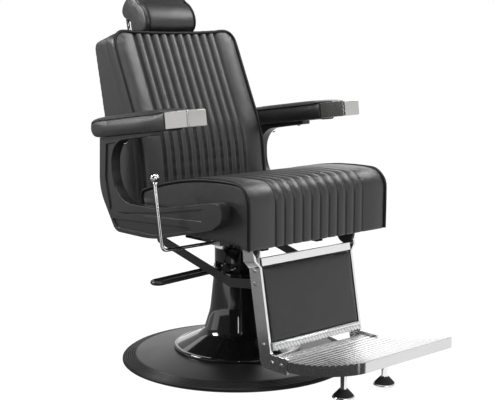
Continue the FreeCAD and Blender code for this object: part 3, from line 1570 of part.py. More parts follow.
def make_strip_screws():
    toe_mid = (s.strip_floor_z + s.strip_toe_z) / 2
    toe_front = s.strip_toe_y + s.strip_half_width
    spots = [on_strip(s.screw_upper_down), (LINK_FRONT_Y, LINK_FRONT_Z), on_strip(s.screw_lower_down),
             (toe_front, toe_mid), (toe_front + s.screw_toe_pitch, toe_mid)]
    screws = []
    for name, side in SIDES.items():
        low_x = low_face(side, s.strip_inner + s.strip_wall, s.screw_head)
        for number, (y, z) in enumerate(spots, start=1):
            screws.append(cylinder(f"strip_screw_{name}_{number}", (low_x, y, z), X_AXIS,
                                   s.screw_radius, s.screw_head))
    keep(group("strip_screws", screws), "strip_screws")


def make_calf_rest():
    width = s.strip_inner * 2
    rail_low = -s.rail_bar_top - s.rail_bar_height
    rail = box("top_rail_bar", (-s.strip_inner, -s.rail_bar_front, rail_low),
               (width, s.rail_bar_wall, s.rail_bar_height))
    keep(place_on_footrest(group("top_rail", [rail])), "top_rail")
    calf_low = rail_low - s.calf_length
    board = box("calf_board_panel",
                (-s.calf_board_half_width, -s.calf_board_front, calf_low - s.heel_height),
                (s.calf_board_half_width * 2, s.calf_board_wall, s.calf_length + s.heel_height + s.rail_bar_height))
    keep(place_on_footrest(group("calf_board", [board])), "calf_board")
    pad = form("calf_pad", calf_pad_form())
    keep(place_on_footrest(pad), "calf_pad")
    heel = box("heel_bar", (-s.strip_inner, -s.calf_board_front - s.heel_wall, calf_low - s.heel_height),
               (width, s.heel_wall, s.heel_height))
    keep(place_on_footrest(group("heel_strip", [heel])), "heel_strip")


def calf_pad_form():
    """A thin pad with a crowned front, lofted from its drawn-in ends over its middle."""
    half = s.strip_inner.value - s.calf_gap.value
    high = -s.rail_bar_top.value - s.rail_bar_height.value - s.calf_gap.value
    low = high - s.calf_length.value + 2 * s.calf_gap.value
    back = -s.calf_board_front.value
    edge = back - s.calf_thickness.value
    sections = []
    for z, share in ((low, 0.3), (low + 0.12 * (high - low), 1.0), (high - 0.12 * (high - low), 1.0),
                     (high, 0.3)):
        crown = Vector(0, -s.calf_crown.value * share, 0)
        front_left = Vector(-half, edge, z)
        front_right = Vector(half, edge, z)
        sections.append(Part.Wire([
            Part.makeLine(Vector(-half, back, z), Vector(half, back, z)),
            Part.makeLine(Vector(half, back, z), front_right),
            arc_between(front_right, front_left, crown),
            Part.makeLine(front_left, Vector(-half, back, z))]))
    return Part.makeLoft(sections, True, True)


def board_top(y):
    """The height of the dished footboard's top at a given y."""
    away = y - s.board_low_y
    return s.board_low_z + away * away / (s.board_radius * 2)


def footboard_form():
    """The dished footboard: a ridged top over a smooth underside, notched for the strips' toes."""
    rear = s.board_rear_y.value
    front = s.board_front_y.value
    wall = s.board_wall.value
    count = int(s.ridge_count.value)
    ridge_front = front + s.board_band.value
    step = (ridge_front - rear) / count
    rise = Vector(0, 0, s.ridge_height.value)

    def top_at(y):
        return Vector(0, y, board_top(as_size(y)).value)

    drop = Vector(0, 0, -wall)
    edges = []
    for i in range(count):
        first = top_at(rear + step * i)
        last = top_at(rear + step * (i + 1))
        edges.append(arc_between(first, last, rise))
    edges.append(Part.makeLine(top_at(ridge_front), top_at(front)))
    low_front = top_at(front) + drop
    low_rear = top_at(rear) + drop
    low_middle = top_at((front + rear) / 2) + drop
    edges.append(Part.makeLine(top_at(front), low_front))
    edges.append(Part.Arc(low_front, low_middle, low_rear).toShape())
    edges.append(Part.makeLine(low_rear, top_at(rear)))
    half = s.strip_inner.value + s.strip_wall.value
    return extrude_profile(edges, half).common(board_plan(half, rear, front))


def board_plan(half, rear, front):
    """An upright prism over the footboard whose two front corners are round."""
    corner = s.board_corner.value
    slant = corner * (1 - math.sqrt(0.5))
    points = [Vector(-half, rear, 0), Vector(half, rear, 0), Vector(half, front + corner, 0),
              Vector(half - corner, front, 0), Vector(corner - half, front, 0), Vector(-half, front + corner, 0)]
    edges = [Part.makeLine(points[0], points[1]),
             Part.makeLine(points[1], points[2]),
             Part.Arc(points[2], Vector(half - slant, front + slant, 0), points[3]).toShape(),
             Part.makeLine(points[3], points[4]),
             Part.Arc(points[4], Vector(slant - half, front + slant, 0), points[5]).toShape(),
             Part.makeLine(points[5], points[0])]
    return Part.Face(Part.Wire(edges)).extrude(Vector(0, 0, s.foot_hinge_z.value))


def make_footboard():
    raw = form("footboard_form", footboard_form())
    tools = []
    notch_front = s.strip_toe_y - s.toe_gap
    for name, side in SIDES.items():
        low_x = low_face(side, s.strip_inner, s.strip_wall)
        tools.append(box(f"toe_notch_{name}", (low_x, notch_front, ZERO),
                         (s.strip_wall, s.board_rear_y - notch_front, s.foot_hinge_z)))
        stem_top = board_top(s.foot_y) - s.board_wall + s.foot_stem_in_board
        tools.append(cylinder(f"stem_hole_{name}", (s.foot_x * side, s.foot_y, ZERO), Z_AXIS,
                              s.foot_stem_radius + s.running_gap, stem_top))
    keep(cut("footboard", raw, tools), "footboard")


def make_screw_foot(name, side):
    """A screw foot: a rimmed cone on a stem that threads into the footboard."""
    low = s.foot_floor_gap
    rim_top = low + s.foot_rim
    cone_top = rim_top + s.foot_cone
    stem_top = board_top(s.foot_y) - s.board_wall + s.foot_stem_in_board / 2
    foot = turned(f"screw_foot_{name}", [
        Corner(ZERO, low),
        Corner(s.foot_radius, low),
        Corner(s.foot_radius, rim_top),
        Corner(s.foot_neck_radius, cone_top),
        Corner(s.foot_stem_radius, cone_top),
        Corner(s.foot_stem_radius, stem_top),
        Corner(ZERO, stem_top)])
    keep(place(foot, (s.foot_x * side, s.foot_y, ZERO)), f"screw_foot_{name}")


def make_footrest():
    for name, side in SIDES.items():
        make_strip(name, side)
        make_screw_foot(name, side)
    make_strip_screws()
    make_calf_rest()
    make_footboard()


def check_document():
    """Stops if any object failed, or a sub-part's shape is missing or not valid."""
    for item in doc.Objects:
        if "Invalid" in item.State or "Error" in item.State:
            raise RuntimeError(f"{item.Name} failed: {item.State}")
    for label, item in nodes.items():
        if item.Shape.isNull() or not item.Shape.isValid():
            raise RuntimeError(f"{label} has no valid shape")


def write_parts():
    os.makedirs("parts", exist_ok=True)
    for label, item in nodes.items():
        item.Shape.exportStep(f"parts/{label}.step")
    print(f"{len(nodes)} sub-parts written")


make_base()
make_pump()
make_frame()
make_links()
make_lock()
make_lever()
make_seat()
make_back()
make_headrest()
make_arms()
make_footrest()
doc.recompute()
check_document()
write_parts()
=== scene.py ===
"""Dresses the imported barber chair: upholstery, enamel, chrome, aluminium and a plain studio.

Metres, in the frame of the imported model: +Z up, the chair faces -Y, the sitter's right is -X.
"""
import json
import logging
import math
from contextlib import contextmanager
from dataclasses import dataclass
from enum import Enum
from typing import Callable, Dict, Iterator, List, Optional, Sequence, Tuple, Union

import bpy
import numpy as np
from mathutils import Euler, Matrix, Vector


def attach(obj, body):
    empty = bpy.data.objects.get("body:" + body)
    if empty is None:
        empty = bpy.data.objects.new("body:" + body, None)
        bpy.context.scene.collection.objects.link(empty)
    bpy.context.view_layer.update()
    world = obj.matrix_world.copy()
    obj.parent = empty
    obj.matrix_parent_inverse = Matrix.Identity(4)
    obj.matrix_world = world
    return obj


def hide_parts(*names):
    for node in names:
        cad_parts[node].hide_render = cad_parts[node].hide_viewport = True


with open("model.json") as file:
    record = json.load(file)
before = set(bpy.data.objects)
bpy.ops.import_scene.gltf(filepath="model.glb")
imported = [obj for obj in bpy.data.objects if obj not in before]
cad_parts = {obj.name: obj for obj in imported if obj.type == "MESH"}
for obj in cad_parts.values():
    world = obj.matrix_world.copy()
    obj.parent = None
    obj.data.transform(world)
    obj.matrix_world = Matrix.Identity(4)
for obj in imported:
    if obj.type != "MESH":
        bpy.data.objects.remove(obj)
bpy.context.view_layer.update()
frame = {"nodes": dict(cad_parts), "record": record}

WHITE = (1.0, 1.0, 1.0, 1.0)

Colour = Tuple[float, float, float]
Point = Tuple[float, float, float]
Flat = Tuple[float, float]

logging.basicConfig(level=logging.INFO, format="%(message)s")
log = logging.getLogger("barber_chair")


class Side(Enum):
    """The sitter's right and left, with the sign of X on each."""

    RIGHT = -1
    LEFT = 1

    @property
    def label(self) -> str:
        """The side's name as it stands in node names."""
        return self.name.lower()


# Shader expressions


class Signal:
    """A shader socket that takes part in Python arithmetic."""

    def __init__(self, canvas: "Canvas", socket: bpy.types.NodeSocket) -> None:
        """Keeps the socket and the material that it belongs to."""
        self.canvas = canvas
        self.socket = socket

    def _math(self, operation: str, first: object, second: object) -> "Signal":
        """Adds one Math node.

        Args:
            operation: the Math node's operation.
            first: its first value or signal.
            second: its second value or signal.

        Returns:
            The node's result.
        """
        return self.canvas.node("ShaderNodeMath", {"operation": operation}, {0: first, 1: second})

    def __add__(self, other: object) -> "Signal":
        """This signal plus another."""
        return self._math("ADD", self, other)

    def __radd__(self, other: object) -> "Signal":
        """Another value plus this signal."""
        return self._math("ADD", other, self)

    def __sub__(self, other: object) -> "Signal":
        """This signal minus another."""
        return self._math("SUBTRACT", self, other)

    def __rsub__(self, other: object) -> "Signal":
        """Another value minus this signal."""
        return self._math("SUBTRACT", other, self)

    def __mul__(self, other: object) -> "Signal":
        """This signal times another."""
        return self._math("MULTIPLY", self, other)

    def clamped(self) -> "Signal":
        """This signal held between 0 and 1."""
        return self.canvas.node("ShaderNodeClamp", {}, {0: self})


class Canvas:
    """The node tree of a new material or world, with one generic way of adding nodes."""

    def __init__(self, name: str, world: bool = False) -> None:
        """Makes an empty node tree.

        Args:
            name: the material's or world's name.
            world: whether it is a world.
        """
        self.owner = bpy.data.worlds.new(name) if world else bpy.data.materials.new(name)
        self.owner.use_nodes = True
        self.tree = self.owner.node_tree
        self.tree.nodes.clear()

    def node(self, kind: str, settings: Dict[str, object], inputs: Dict[Union[int, str], object],
             output: Union[int, str] = 0) -> Signal:
        """Adds a node of any type.

        Args:
            kind: the node's type.
            settings: properties set before its sockets.
            inputs: values or signals by socket name or number.
            output: the socket that is handed back.

        Returns:
            The chosen output as a signal.
        """
        made = self.tree.nodes.new(kind)
        for key, value in settings.items():
            setattr(made, key, value)
        for key, value in inputs.items():
            if isinstance(value, Signal):
                self.tree.links.new(value.socket, made.inputs[key])
            else:
                made.inputs[key].default_value = value
        return Signal(self, made.outputs[output] if made.outputs else made.inputs[0])

    def coordinates(self, scale: Point = (1.0, 1.0, 1.0), turn: Point = (0.0, 0.0, 0.0)) -> Signal:
        """Object coordinates, stretched and turned.

        Args:
            scale: the stretch along each axis.
            turn: the rotation about each axis in degrees.

        Returns:
            The coordinates as a vector signal.
        """
        place = self.node("ShaderNodeTexCoord", {}, {}, "Object")
        angles = tuple(math.radians(a) for a in turn)
        return self.node("ShaderNodeMapping", {}, {"Vector": place, "Rotation": angles, "Scale": scale})

    def noise(self, where: Signal, scale: float, detail: float = 2.0, rough: float = 0.5) -> Signal:
        """Smooth noise from 0 to 1.

        Args:
            where: the coordinates.
            scale: features per metre.
            detail: octaves of finer noise.
            rough: how strong the finer noise is.

        Returns:
            The noise value.
        """
        return self.node("ShaderNodeTexNoise", {},
                         {"Vector": where, "Scale": scale, "Detail": detail, "Roughness": rough})

    def blend(self, share: object, low: object, high: object) -> Signal:
        """A colour between two colours.

        Args:
            share: 0 gives low and 1 gives high.
            low: the first colour.
            high: the second colour.

        Returns:
            The mixed colour.
        """
        ends = [value if isinstance(value, Signal) else (*value, 1.0) for value in (low, high)]
        return self.node("ShaderNodeMix", {"data_type": "RGBA"}, {0: share, 6: ends[0], 7: ends[1]}, 2)

    def relief(self, height: Signal, strength: float, distance: float,
               over: Optional[Signal] = None) -> Signal:
        """A Bump node's normal.

        Args:
            height: the relief from 0 to 1.
            strength: how much of it shows.
            distance: its depth in metres.
            over: the normal of a coarser relief below it.

        Returns:
            The bumped normal.
        """
        below = {} if over is None else {"Normal": over}
        return self.node("ShaderNodeBump", {},
                         {"Strength": strength, "Distance": distance, "Height": height, **below})

    def seen(self) -> Signal:
        """1 for a ray from the camera, off a gloss or through glass, and 0 for any other."""
        camera, glossy, through = (self.node("ShaderNodeLightPath", {}, {}, f"Is {kind} Ray")
                                   for kind in ("Camera", "Glossy", "Transmission"))
        return (camera + glossy + through).clamped()

    def surface(self, **sockets: object) -> bpy.types.Material:
        """Closes the tree with a Principled shader.

        Args:
            sockets: Principled socket values or signals, with _ for a space.

        Returns:
            The finished material.
        """
        values = {}
        for key, value in sockets.items():
            colour = isinstance(value, tuple)
            values[key.replace("_", " ")] = (*value, 1.0) if colour else value
        shader = self.node("ShaderNodeBsdfPrincipled", {}, values)
        self.node("ShaderNodeOutputMaterial", {}, {"Surface": shader})
        return self.owner


# Finishes


@dataclass(frozen=True)
class Vinyl:
    """Embossed upholstery vinyl, with painted shade darkening it along the sewn seams, where the channels
    are drawn in.
    """

    name: str
    colour: Colour
    gloss: float
    grain: float = 820.0
    slack: float = 0.0016
    shine: float = 0.5

    def make(self) -> bpy.types.Material:
        """Builds the grained vinyl material.

        Returns:
            The material.
        """
        c = Canvas(self.name)
        where = c.coordinates()
        pebble = c.node("ShaderNodeTexVoronoi", {"feature": "DISTANCE_TO_EDGE"},
                        {"Vector": where, "Scale": self.grain})
        fine = c.noise(where, self.grain * 2.3, 3.0, 0.6)
        cloudy = c.noise(where, 7.0, 3.0, 0.55)
        pulled = c.noise(where, 19.0, 2.0, 0.5)
        creased = c.noise(where, 70.0, 4.0, 0.62)
        seam = c.node("ShaderNodeAttribute", {"attribute_name": "seam"}, {}, "Fac")
        light = tuple(v * 1.25 for v in self.colour)
        deep = tuple(v * 0.78 for v in self.colour)
        toned = c.blend(cloudy * 0.6 + creased * 0.4, deep, light)
        # Painted shade: along the seam grooves the colour falls to near black, standing in for the shade
        # inside each groove.
        seam_shaded = c.blend((seam * 0.9).clamped(), toned, tuple(v * 0.06 for v in self.colour))
        rough = (self.gloss - 0.12) + cloudy * 0.10 + creased * 0.10 + fine * 0.06 + seam * 0.3
        folds = c.relief(pulled, 1.0, self.slack)
        hills = (pebble * 2.4).clamped() * 0.6 + fine * 0.3 + creased * 0.6
        normal = c.relief(hills, 0.28, 0.0005, folds)
        return c.surface(Base_Color=seam_shaded, Roughness=rough.clamped(), Normal=normal,
                         Specular_IOR_Level=self.shine)


@dataclass(frozen=True)
class Enamel:
    """Sprayed enamel with a faint orange-peel relief and handling marks."""

    name: str
    colour: Colour
    gloss: float
    peel: float = 240.0
    depth: float = 0.00012
    coat: float = 0.0

    def make(self) -> bpy.types.Material:
        """Builds the enamel material.

        Returns:
            The material.
        """
        c = Canvas(self.name)
        where = c.coordinates()
        peel = c.noise(where, self.peel, 2.0, 0.5)
        marks = c.noise(where, 11.0, 5.0, 0.62)
        dust = c.noise(where, 900.0, 1.0, 0.5)
        light = tuple(v * 1.35 + 0.002 for v in self.colour)
        tone = c.blend(marks * 0.5 + dust * 0.2, self.colour, light)
        rough = self.gloss * 0.82 + marks * (self.gloss * 0.36)
        return c.surface(Base_Color=tone, Roughness=rough, Coat_Weight=self.coat, Coat_Roughness=0.04,
                         Normal=c.relief(peel, 0.16, self.depth))


@dataclass(frozen=True)
class Plating:
    """Bright plated or polished metal with faint smears."""

    name: str
    colour: Colour
    gloss: float
    smear: float = 0.08

    def make(self) -> bpy.types.Material:
        """Builds the plated metal material.

        Returns:
            The material.
        """
        c = Canvas(self.name)
        where = c.coordinates()
        smears = c.noise(where, 26.0, 5.0, 0.6)
        fine = c.noise(where, 420.0, 2.0, 0.5)
        dull = tuple(v * 0.9 for v in self.colour)
        rough = self.gloss + smears * self.smear + fine * 0.02
        return c.surface(Base_Color=c.blend(smears, dull, self.colour), Metallic=1.0, Roughness=rough,
                         Normal=c.relief(smears, 0.01, 0.0002))


@dataclass(frozen=True)
class Brushed:
    """Metal with fine parallel marks from belt grinding."""

    name: str
    colour: Colour
    gloss: float
    along: Point = (1.0, 1.0, 0.02)
    turn: Point = (0.0, 0.0, 0.0)

    def make(self) -> bpy.types.Material:
        """Builds the brushed metal material.

        Returns:
            The material.
        """
        c = Canvas(self.name)
        streaks = c.noise(c.coordinates(self.along, self.turn), 620.0, 3.0, 0.6)
        patches = c.noise(c.coordinates(), 14.0, 3.0, 0.5)
        dull = tuple(v * 0.86 for v in self.colour)
        tone = c.blend((streaks * 0.6 + patches * 0.4).clamped(), dull, self.colour)
        rough = self.gloss + streaks * 0.08 + patches * 0.05
        return c.surface(Base_Color=tone, Metallic=1.0, Roughness=rough,
                         Normal=c.relief(streaks, 0.03, 0.00008))


@dataclass(frozen=True)
class Tread:
    """Ridged metal of a dished board, with painted highlight on the ridge tops and painted shade in the
    valleys; the tops are also smoother.
    """

    name: str
    # polished is the grey painted on the ridge tops as a highlight; dull is the grey painted in the valleys
    # as shade.
    polished: float
    dull: float
    low: Flat = (-0.335, 0.107)
    dish: float = 1.9
    ridge: float = 0.003

    def make(self) -> bpy.types.Material:
        """Builds the tread material, whose painted highlight and painted shade follow the height above the
        dished surface.

        Returns:
            The material.
        """
        c = Canvas(self.name)
        where = c.coordinates()
        y = c.node("ShaderNodeSeparateXYZ", {}, {"Vector": where}, "Y")
        z = c.node("ShaderNodeSeparateXYZ", {}, {"Vector": where}, "Z")
        run = y - self.low[0]
        height = (z - self.low[1] - run * run * (1 / self.dish)) * (1 / self.ridge)
        # Painted light: the ridge tops get a lighter grey as painted highlight and the valleys a darker grey
        # as painted shade.
        top = ((height - 0.25) * 2.0).clamped()
        worn = c.noise(where, 40.0, 3.0, 0.6)
        tone = c.blend(top, (self.dull,) * 3, (self.polished,) * 3)
        return c.surface(Base_Color=tone, Metallic=1.0, Roughness=0.40 - top * 0.20 + worn * 0.06)


@dataclass(frozen=True)
class Moulded:
    """Rubber or moulded plastic with a fine matte texture."""

    name: str
    colour: Colour
    gloss: float
    shine: float = 0.32

    def make(self) -> bpy.types.Material:
        """Builds the moulded material.

        Returns:
            The material.
        """
        c = Canvas(self.name)
        where = c.coordinates()
        speckle = c.noise(where, 1300.0, 2.0, 0.6)
        worn = c.noise(where, 18.0, 4.0, 0.6)
        light = tuple(v * 1.5 + 0.002 for v in self.colour)
        tone = c.blend(worn * 0.6 + speckle * 0.3, self.colour, light)
        return c.surface(Base_Color=tone, Roughness=(self.gloss + worn * 0.12 - 0.05).clamped(),
                         Specular_IOR_Level=self.shine, Normal=c.relief(speckle, 0.2, 0.0002))


class Palette:
    """All finishes, each made once and found by its slot name."""

    FINISHES = (
        Vinyl("vinyl", (0.019, 0.019, 0.0194), 0.35),
        Vinyl("piping", (0.004, 0.004, 0.0042), 0.44, 1400.0, 0.0004, 0.22),
        Enamel("satin_black", (0.011, 0.011, 0.0113), 0.34),
        Enamel("gloss_black", (0.0045, 0.0045, 0.0048), 0.10, 120.0, 0.00003, 1.0),
        Enamel("frame_black", (0.018, 0.018, 0.019), 0.42),
        Moulded("rim_rubber", (0.004, 0.004, 0.0042), 0.40, 0.20),
        Moulded("foot_black", (0.014, 0.014, 0.015), 0.36),
        Plating("chrome", (0.86, 0.86, 0.87), 0.045),
        Plating("cap_satin", (0.55, 0.545, 0.53), 0.20, 0.05),
        Plating("bearing_bronze", (0.55, 0.38, 0.18), 0.22),
        Plating("screw_steel", (0.62, 0.62, 0.63), 0.20),
        Brushed("machined_steel", (0.52, 0.52, 0.53), 0.26, (1.0, 1.0, 0.05)),
        Brushed("strip_aluminium", (0.86, 0.86, 0.865), 0.16, (1.0, 1.0, 0.015), (10.4, 0.0, 0.0)),
        Brushed("tread_aluminium", (0.72, 0.72, 0.725), 0.15, (0.02, 1.0, 1.0)),
        # The heel strip's finish is a darker copy of the rib aluminium: painted shade in the gaps between
        # its ribs.
        Brushed("heel_painted_shade", (0.52, 0.52, 0.525), 0.34, (0.02, 1.0, 1.0)),
        Brushed("rib_aluminium", (0.84, 0.84, 0.845), 0.36, (0.02, 1.0, 1.0)),
        Tread("tread_painted_light", 0.74, 0.30),
    )

    PAINTED = ("calf_board", "seat_board", "seat_side_boards", "pump_cylinder", "pump_gland")

    def __init__(self) -> None:
        """Makes every finish's material."""
        self._made = {finish.name: finish.make() for finish in self.FINISHES}

    def coat(self, piece: bpy.types.Object, finish: str) -> None:
        """Gives a piece one finish all over.

        Args:
            piece: the mesh object.
            finish: the finish's name.
        """
        piece.data.materials.clear()
        piece.data.materials.append(self._made[finish])

    def coat_faces(self, piece: bpy.types.Object, finish: str,
                   chosen: Callable[[bpy.types.MeshPolygon], bool]) -> None:
        """Gives chosen faces of a coated piece another finish.

        Args:
            piece: the mesh object.
            finish: the second finish's name.
            chosen: tells which faces take it.
        """
        piece.data.materials.append(self._made[finish])
        for face in piece.data.polygons:
            if chosen(face):
                face.material_index = 1

    def coat_frame(self) -> None:
        """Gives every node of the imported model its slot's finish, or black paint."""
        for part in frame["record"]["subparts"]:
            finish = "frame_black" if part["node"] in self.PAINTED else part["material_slot"]
            self.coat(frame["nodes"][part["node"]], finish)


# Modelling helpers


def deselect_all() -> None:
    """Leaves nothing selected, in object mode."""
    if bpy.context.object is not None and bpy.context.object.mode != "OBJECT":
        bpy.ops.object.mode_set(mode="OBJECT")
    bpy.ops.object.select_all(action="DESELECT")


def take_up(piece: bpy.types.Object) -> None:
    """Makes one piece the only selected and active object.

    Args:
        piece: the object.
    """
    deselect_all()
    piece.select_set(True)
    bpy.context.view_layer.objects.active = piece


@contextmanager
def edit_mode() -> Iterator[None]:
    """Edits the active piece with all of it selected, and returns to object mode."""
    bpy.ops.object.mode_set(mode="EDIT")
    bpy.ops.mesh.select_all(action="SELECT")
    yield
    bpy.ops.object.mode_set(mode="OBJECT")


def joined(pieces: Sequence[bpy.types.Object]) -> bpy.types.Object:
    """Joins pieces into the first of them.

    Args:
        pieces: the mesh objects.

    Returns:
        The first piece, which then holds them all.
    """
    deselect_all()
    for piece in pieces:
        piece.select_set(True)
    bpy.context.view_layer.objects.active = pieces[0]
    bpy.ops.object.join()
    return pieces[0]


def placed_copies(model: bpy.types.Object, name: str, places: Sequence[Matrix]) -> bpy.types.Object:
    """Copies a model to each place and joins the copies as one piece.

    Args:
        model: the piece to copy.
        name: the joined piece's name.
        places: where each copy goes.

    Returns:
        The joined piece.
    """
    copies = []
    for place in places:
        mesh = model.data.copy()
        mesh.transform(place)
        copies.append(bpy.data.objects.new(name, mesh))
        bpy.context.scene.collection.objects.link(copies[-1])
    return joined(copies)


def set_down(piece: bpy.types.Object) -> None:
    """Puts a piece's place, turn and scale into its mesh."""
    take_up(piece)
    bpy.ops.object.transform_apply(location=True, rotation=True, scale=True)


def finish_modifier(piece: bpy.types.Object, kind: str, **settings: object) -> None:
    """Adds one modifier with its settings and applies it.

    Args:
        piece: the mesh object.
        kind: the modifier's type.
        settings: the modifier's properties.
    """
    take_up(piece)
    bpy.ops.object.modifier_add(type=kind)
    modifier = piece.modifiers[-1]
    for key, value in settings.items():
        setattr(modifier, key, value)
    bpy.ops.object.modifier_apply(modifier=modifier.name)


def smooth_shade(piece: bpy.types.Object, degrees: float = 32.0) -> None:
    """Shades smooth except across edges sharper than an angle."""
    take_up(piece)
    bpy.ops.object.shade_smooth_by_angle(angle=math.radians(degrees))


def copy_of(node: str, name: str) -> bpy.types.Object:
    """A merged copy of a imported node's mesh as a new piece.

    Args:
        node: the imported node.
        name: the new piece's name.

    Returns:
        The new mesh object.
    """
    mesh = frame["nodes"][node].data.copy()
    mesh.name = name
    piece = bpy.data.objects.new(name, mesh)
    bpy.context.scene.collection.objects.link(piece)
    take_up(piece)
    bpy.ops.mesh.customdata_custom_splitnormals_clear()
    with edit_mode():
        bpy.ops.mesh.remove_doubles(threshold=0.00001)
    return piece


def joined_copy(nodes: Sequence[str], name: str) -> bpy.types.Object:
    """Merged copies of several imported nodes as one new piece.

    Args:
        nodes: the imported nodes.
        name: the new piece's name.

    Returns:
        The new mesh object.
    """
    copies = [copy_of(node, name) for node in nodes]
    return joined(copies) if len(copies) > 1 else copies[0]


def laid_on(piece: bpy.types.Object, line: Sequence[Point], stand_out: float,
            closed: bool = False) -> List[Point]:
    """A line drawn to a piece's nearest surface and evened out along its length.

    Args:
        piece: the mesh object.
        line: the points to lay down.
        stand_out: how far the line stands off the surface.
        closed: whether the line returns to its start.

    Returns:
        The laid points.
    """
    laid = []
    for place in line:
        found, spot, normal, _ = piece.closest_point_on_mesh(Vector(place))
        laid.append(spot + normal * stand_out if found else Vector(place))
    for _ in range(3):
        before = [place.copy() for place in laid]
        span = range(len(laid)) if closed else range(1, len(laid) - 1)
        for i in span:
            laid[i] = (before[i - 1] + before[i] * 2 + before[(i + 1) % len(before)]) / 4
    return [tuple(place) for place in laid]


def rounded_edges(piece: bpy.types.Object, width: float, segments: int, above: float, crisp: float,
                  **settings: object) -> bpy.types.Object:
    """Rounds a piece's sharp edges and evens its shading.

    Args:
        piece: the mesh object.
        width: the rounding's width in metres.
        segments: faces across each rounding.
        above: edges sharper than this many degrees are rounded.
        crisp: edges sharper than this many degrees are shaded sharp.
        settings: other properties of the bevel.

    Returns:
        The same piece.
    """
    finish_modifier(piece, "BEVEL", width=width, segments=segments, limit_method="ANGLE",
                    angle_limit=math.radians(above), use_clamp_overlap=True, **settings)
    smooth_shade(piece, crisp)
    finish_modifier(piece, "WEIGHTED_NORMAL", mode="FACE_AREA", weight=60, keep_sharp=True)
    return piece


def softened_copy(node: str, width: float) -> bpy.types.Object:
    """A copy of a rigid node with its sharp edges rounded.

    Args:
        node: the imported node.
        width: the rounding's width in metres.

    Returns:
        The new mesh object.
    """
    piece = copy_of(node, f"{node}_dressed")
    with edit_mode():
        bpy.ops.mesh.dissolve_limited(angle_limit=math.radians(0.6))
    return rounded_edges(piece, width, 3, 32.0, 40.0, miter_outer="MITER_ARC")


def eased_copy(node: str, width: float) -> bpy.types.Object:
    """A copy of a ridged node with only its square edges eased and its curves left as they are.

    Args:
        node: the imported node.
        width: the easing's width in metres.

    Returns:
        The new mesh object.
    """
    return rounded_edges(copy_of(node, f"{node}_dressed"), width, 2, 80.0, 30.0)


def vertex_rows(piece: bpy.types.Object, value: str = "co") -> np.ndarray:
    """Reads a vector of every vertex.

    Args:
        piece: the mesh object.
        value: "co" for the places or "normal" for the normals.

    Returns:
        An array with a row for each vertex.
    """
    rows = np.empty(len(piece.data.vertices) * 3)
    piece.data.vertices.foreach_get(value, rows)
    return rows.reshape(-1, 3)


def move_vertices(piece: bpy.types.Object, places: np.ndarray) -> None:
    """Writes new vertex places into the piece's mesh."""
    piece.data.vertices.foreach_set("co", places.ravel())
    piece.data.update()


def rounded_line(corners: Sequence[Point], steps: int = 10) -> List[Flat]:
    """A polyline whose corners are rounded by arcs.

    Args:
        corners: rows of across, up and radius; a radius of 0 stays sharp.
        steps: points along each arc.

    Returns:
        The points in order.
    """
    line: List[Flat] = []
    for i, (across, up, radius) in enumerate(corners):
        here = Vector((across, up))
        if radius <= 0 or i in (0, len(corners) - 1):
            line.append((across, up))
            continue
        back = (Vector(corners[i - 1][:2]) - here).normalized()
        ahead = (Vector(corners[i + 1][:2]) - here).normalized()
        half = back.angle(ahead) / 2
        reach = radius / math.tan(half)
        centre = here + (back + ahead).normalized() * (radius / math.sin(half))
        first = here + back * reach - centre
        last = here + ahead * reach - centre
        sweep = first.angle(last)
        for step in range(steps + 1):
            share = step / steps
            arm = (first * math.sin((1 - share) * sweep) + last * math.sin(share * sweep)) / math.sin(sweep)
            line.append(tuple(centre + arm))
    return line


def spun(name: str, profile: Sequence[Flat], steps: int) -> bpy.types.Object:
    """A closed turned piece about the upright axis, from a profile of radius and height.

    Args:
        name: the piece's name.
        profile: radius and height in order round the section, not repeated at the end.
        steps: segments round the axis.

    Returns:
        The new mesh object.
    """
    deselect_all()
    radius, height = profile[0]
    bpy.ops.mesh.primitive_plane_add(size=0.002, location=(0, 0, 0))
    piece = bpy.context.object
    piece.name = name
    with edit_mode():
        bpy.ops.mesh.merge(type="CENTER")
        bpy.ops.transform.translate(value=(radius, 0, height))
        points = list(profile) + [profile[0]]
        for (r0, z0), (r1, z1) in zip(points, points[1:]):
            bpy.ops.mesh.extrude_region_move(TRANSFORM_OT_translate={"value": (r1 - r0, 0, z1 - z0)})
        bpy.ops.mesh.select_all(action="SELECT")
        bpy.ops.mesh.remove_doubles(threshold=0.000001)
    with edit_mode():
        bpy.ops.mesh.spin(steps=steps, angle=2 * math.pi, center=(0, 0, 0), axis=(0, 0, 1))
        bpy.ops.mesh.select_all(action="SELECT")
        bpy.ops.mesh.remove_doubles(threshold=0.000005)
        bpy.ops.mesh.normals_make_consistent(inside=False)
    smooth_shade(piece, 38.0)
    return piece


def welt(name: str, points: Sequence[Point], radius: float, closed: bool = False,
         rounds: int = 3) -> bpy.types.Object:
    """A round piping along a line, as a mesh.

    Args:
        name: the piece's name.
        points: the line's points.
        radius: the piping's radius.
        closed: whether the line returns to its start.
        rounds: how finely its section is rounded.

    Returns:
        The new mesh object.
    """
    curve = bpy.data.curves.new(name, "CURVE")
    curve.dimensions = "3D"
    curve.bevel_depth = radius
    curve.bevel_resolution = rounds
    curve.use_fill_caps = True
    spline = curve.splines.new("POLY")
    spline.points.add(len(points) - 1)
    for handle, place in zip(spline.points, points):
        handle.co = (*place, 1.0)
    spline.use_cyclic_u = closed
    piece = bpy.data.objects.new(name, curve)
    bpy.context.scene.collection.objects.link(piece)
    take_up(piece)
    bpy.ops.object.convert(target="MESH")
    piece = bpy.context.object
    smooth_shade(piece, 60.0)
    return piece


def fit(piece: bpy.types.Object, body: str, slot: str, palette: Palette, finish: Optional[str] = None,
        stands_for: Sequence[str] = ()) -> bpy.types.Object:
    """Coats a finished piece and fixes it to its body.

    Args:
        piece: the mesh object.
        body: the body it rides on.
        slot: the record's material slot.
        palette: the finishes.
        finish: the finish, if it isn't the slot's own.
        stands_for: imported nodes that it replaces.

    Returns:
        The same piece.
    """
    palette.coat(piece, finish or slot)
    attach(piece, body)
    if stands_for:
        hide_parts(*stands_for)
    log.info("%s rides on %s", piece.name, body)
    return piece


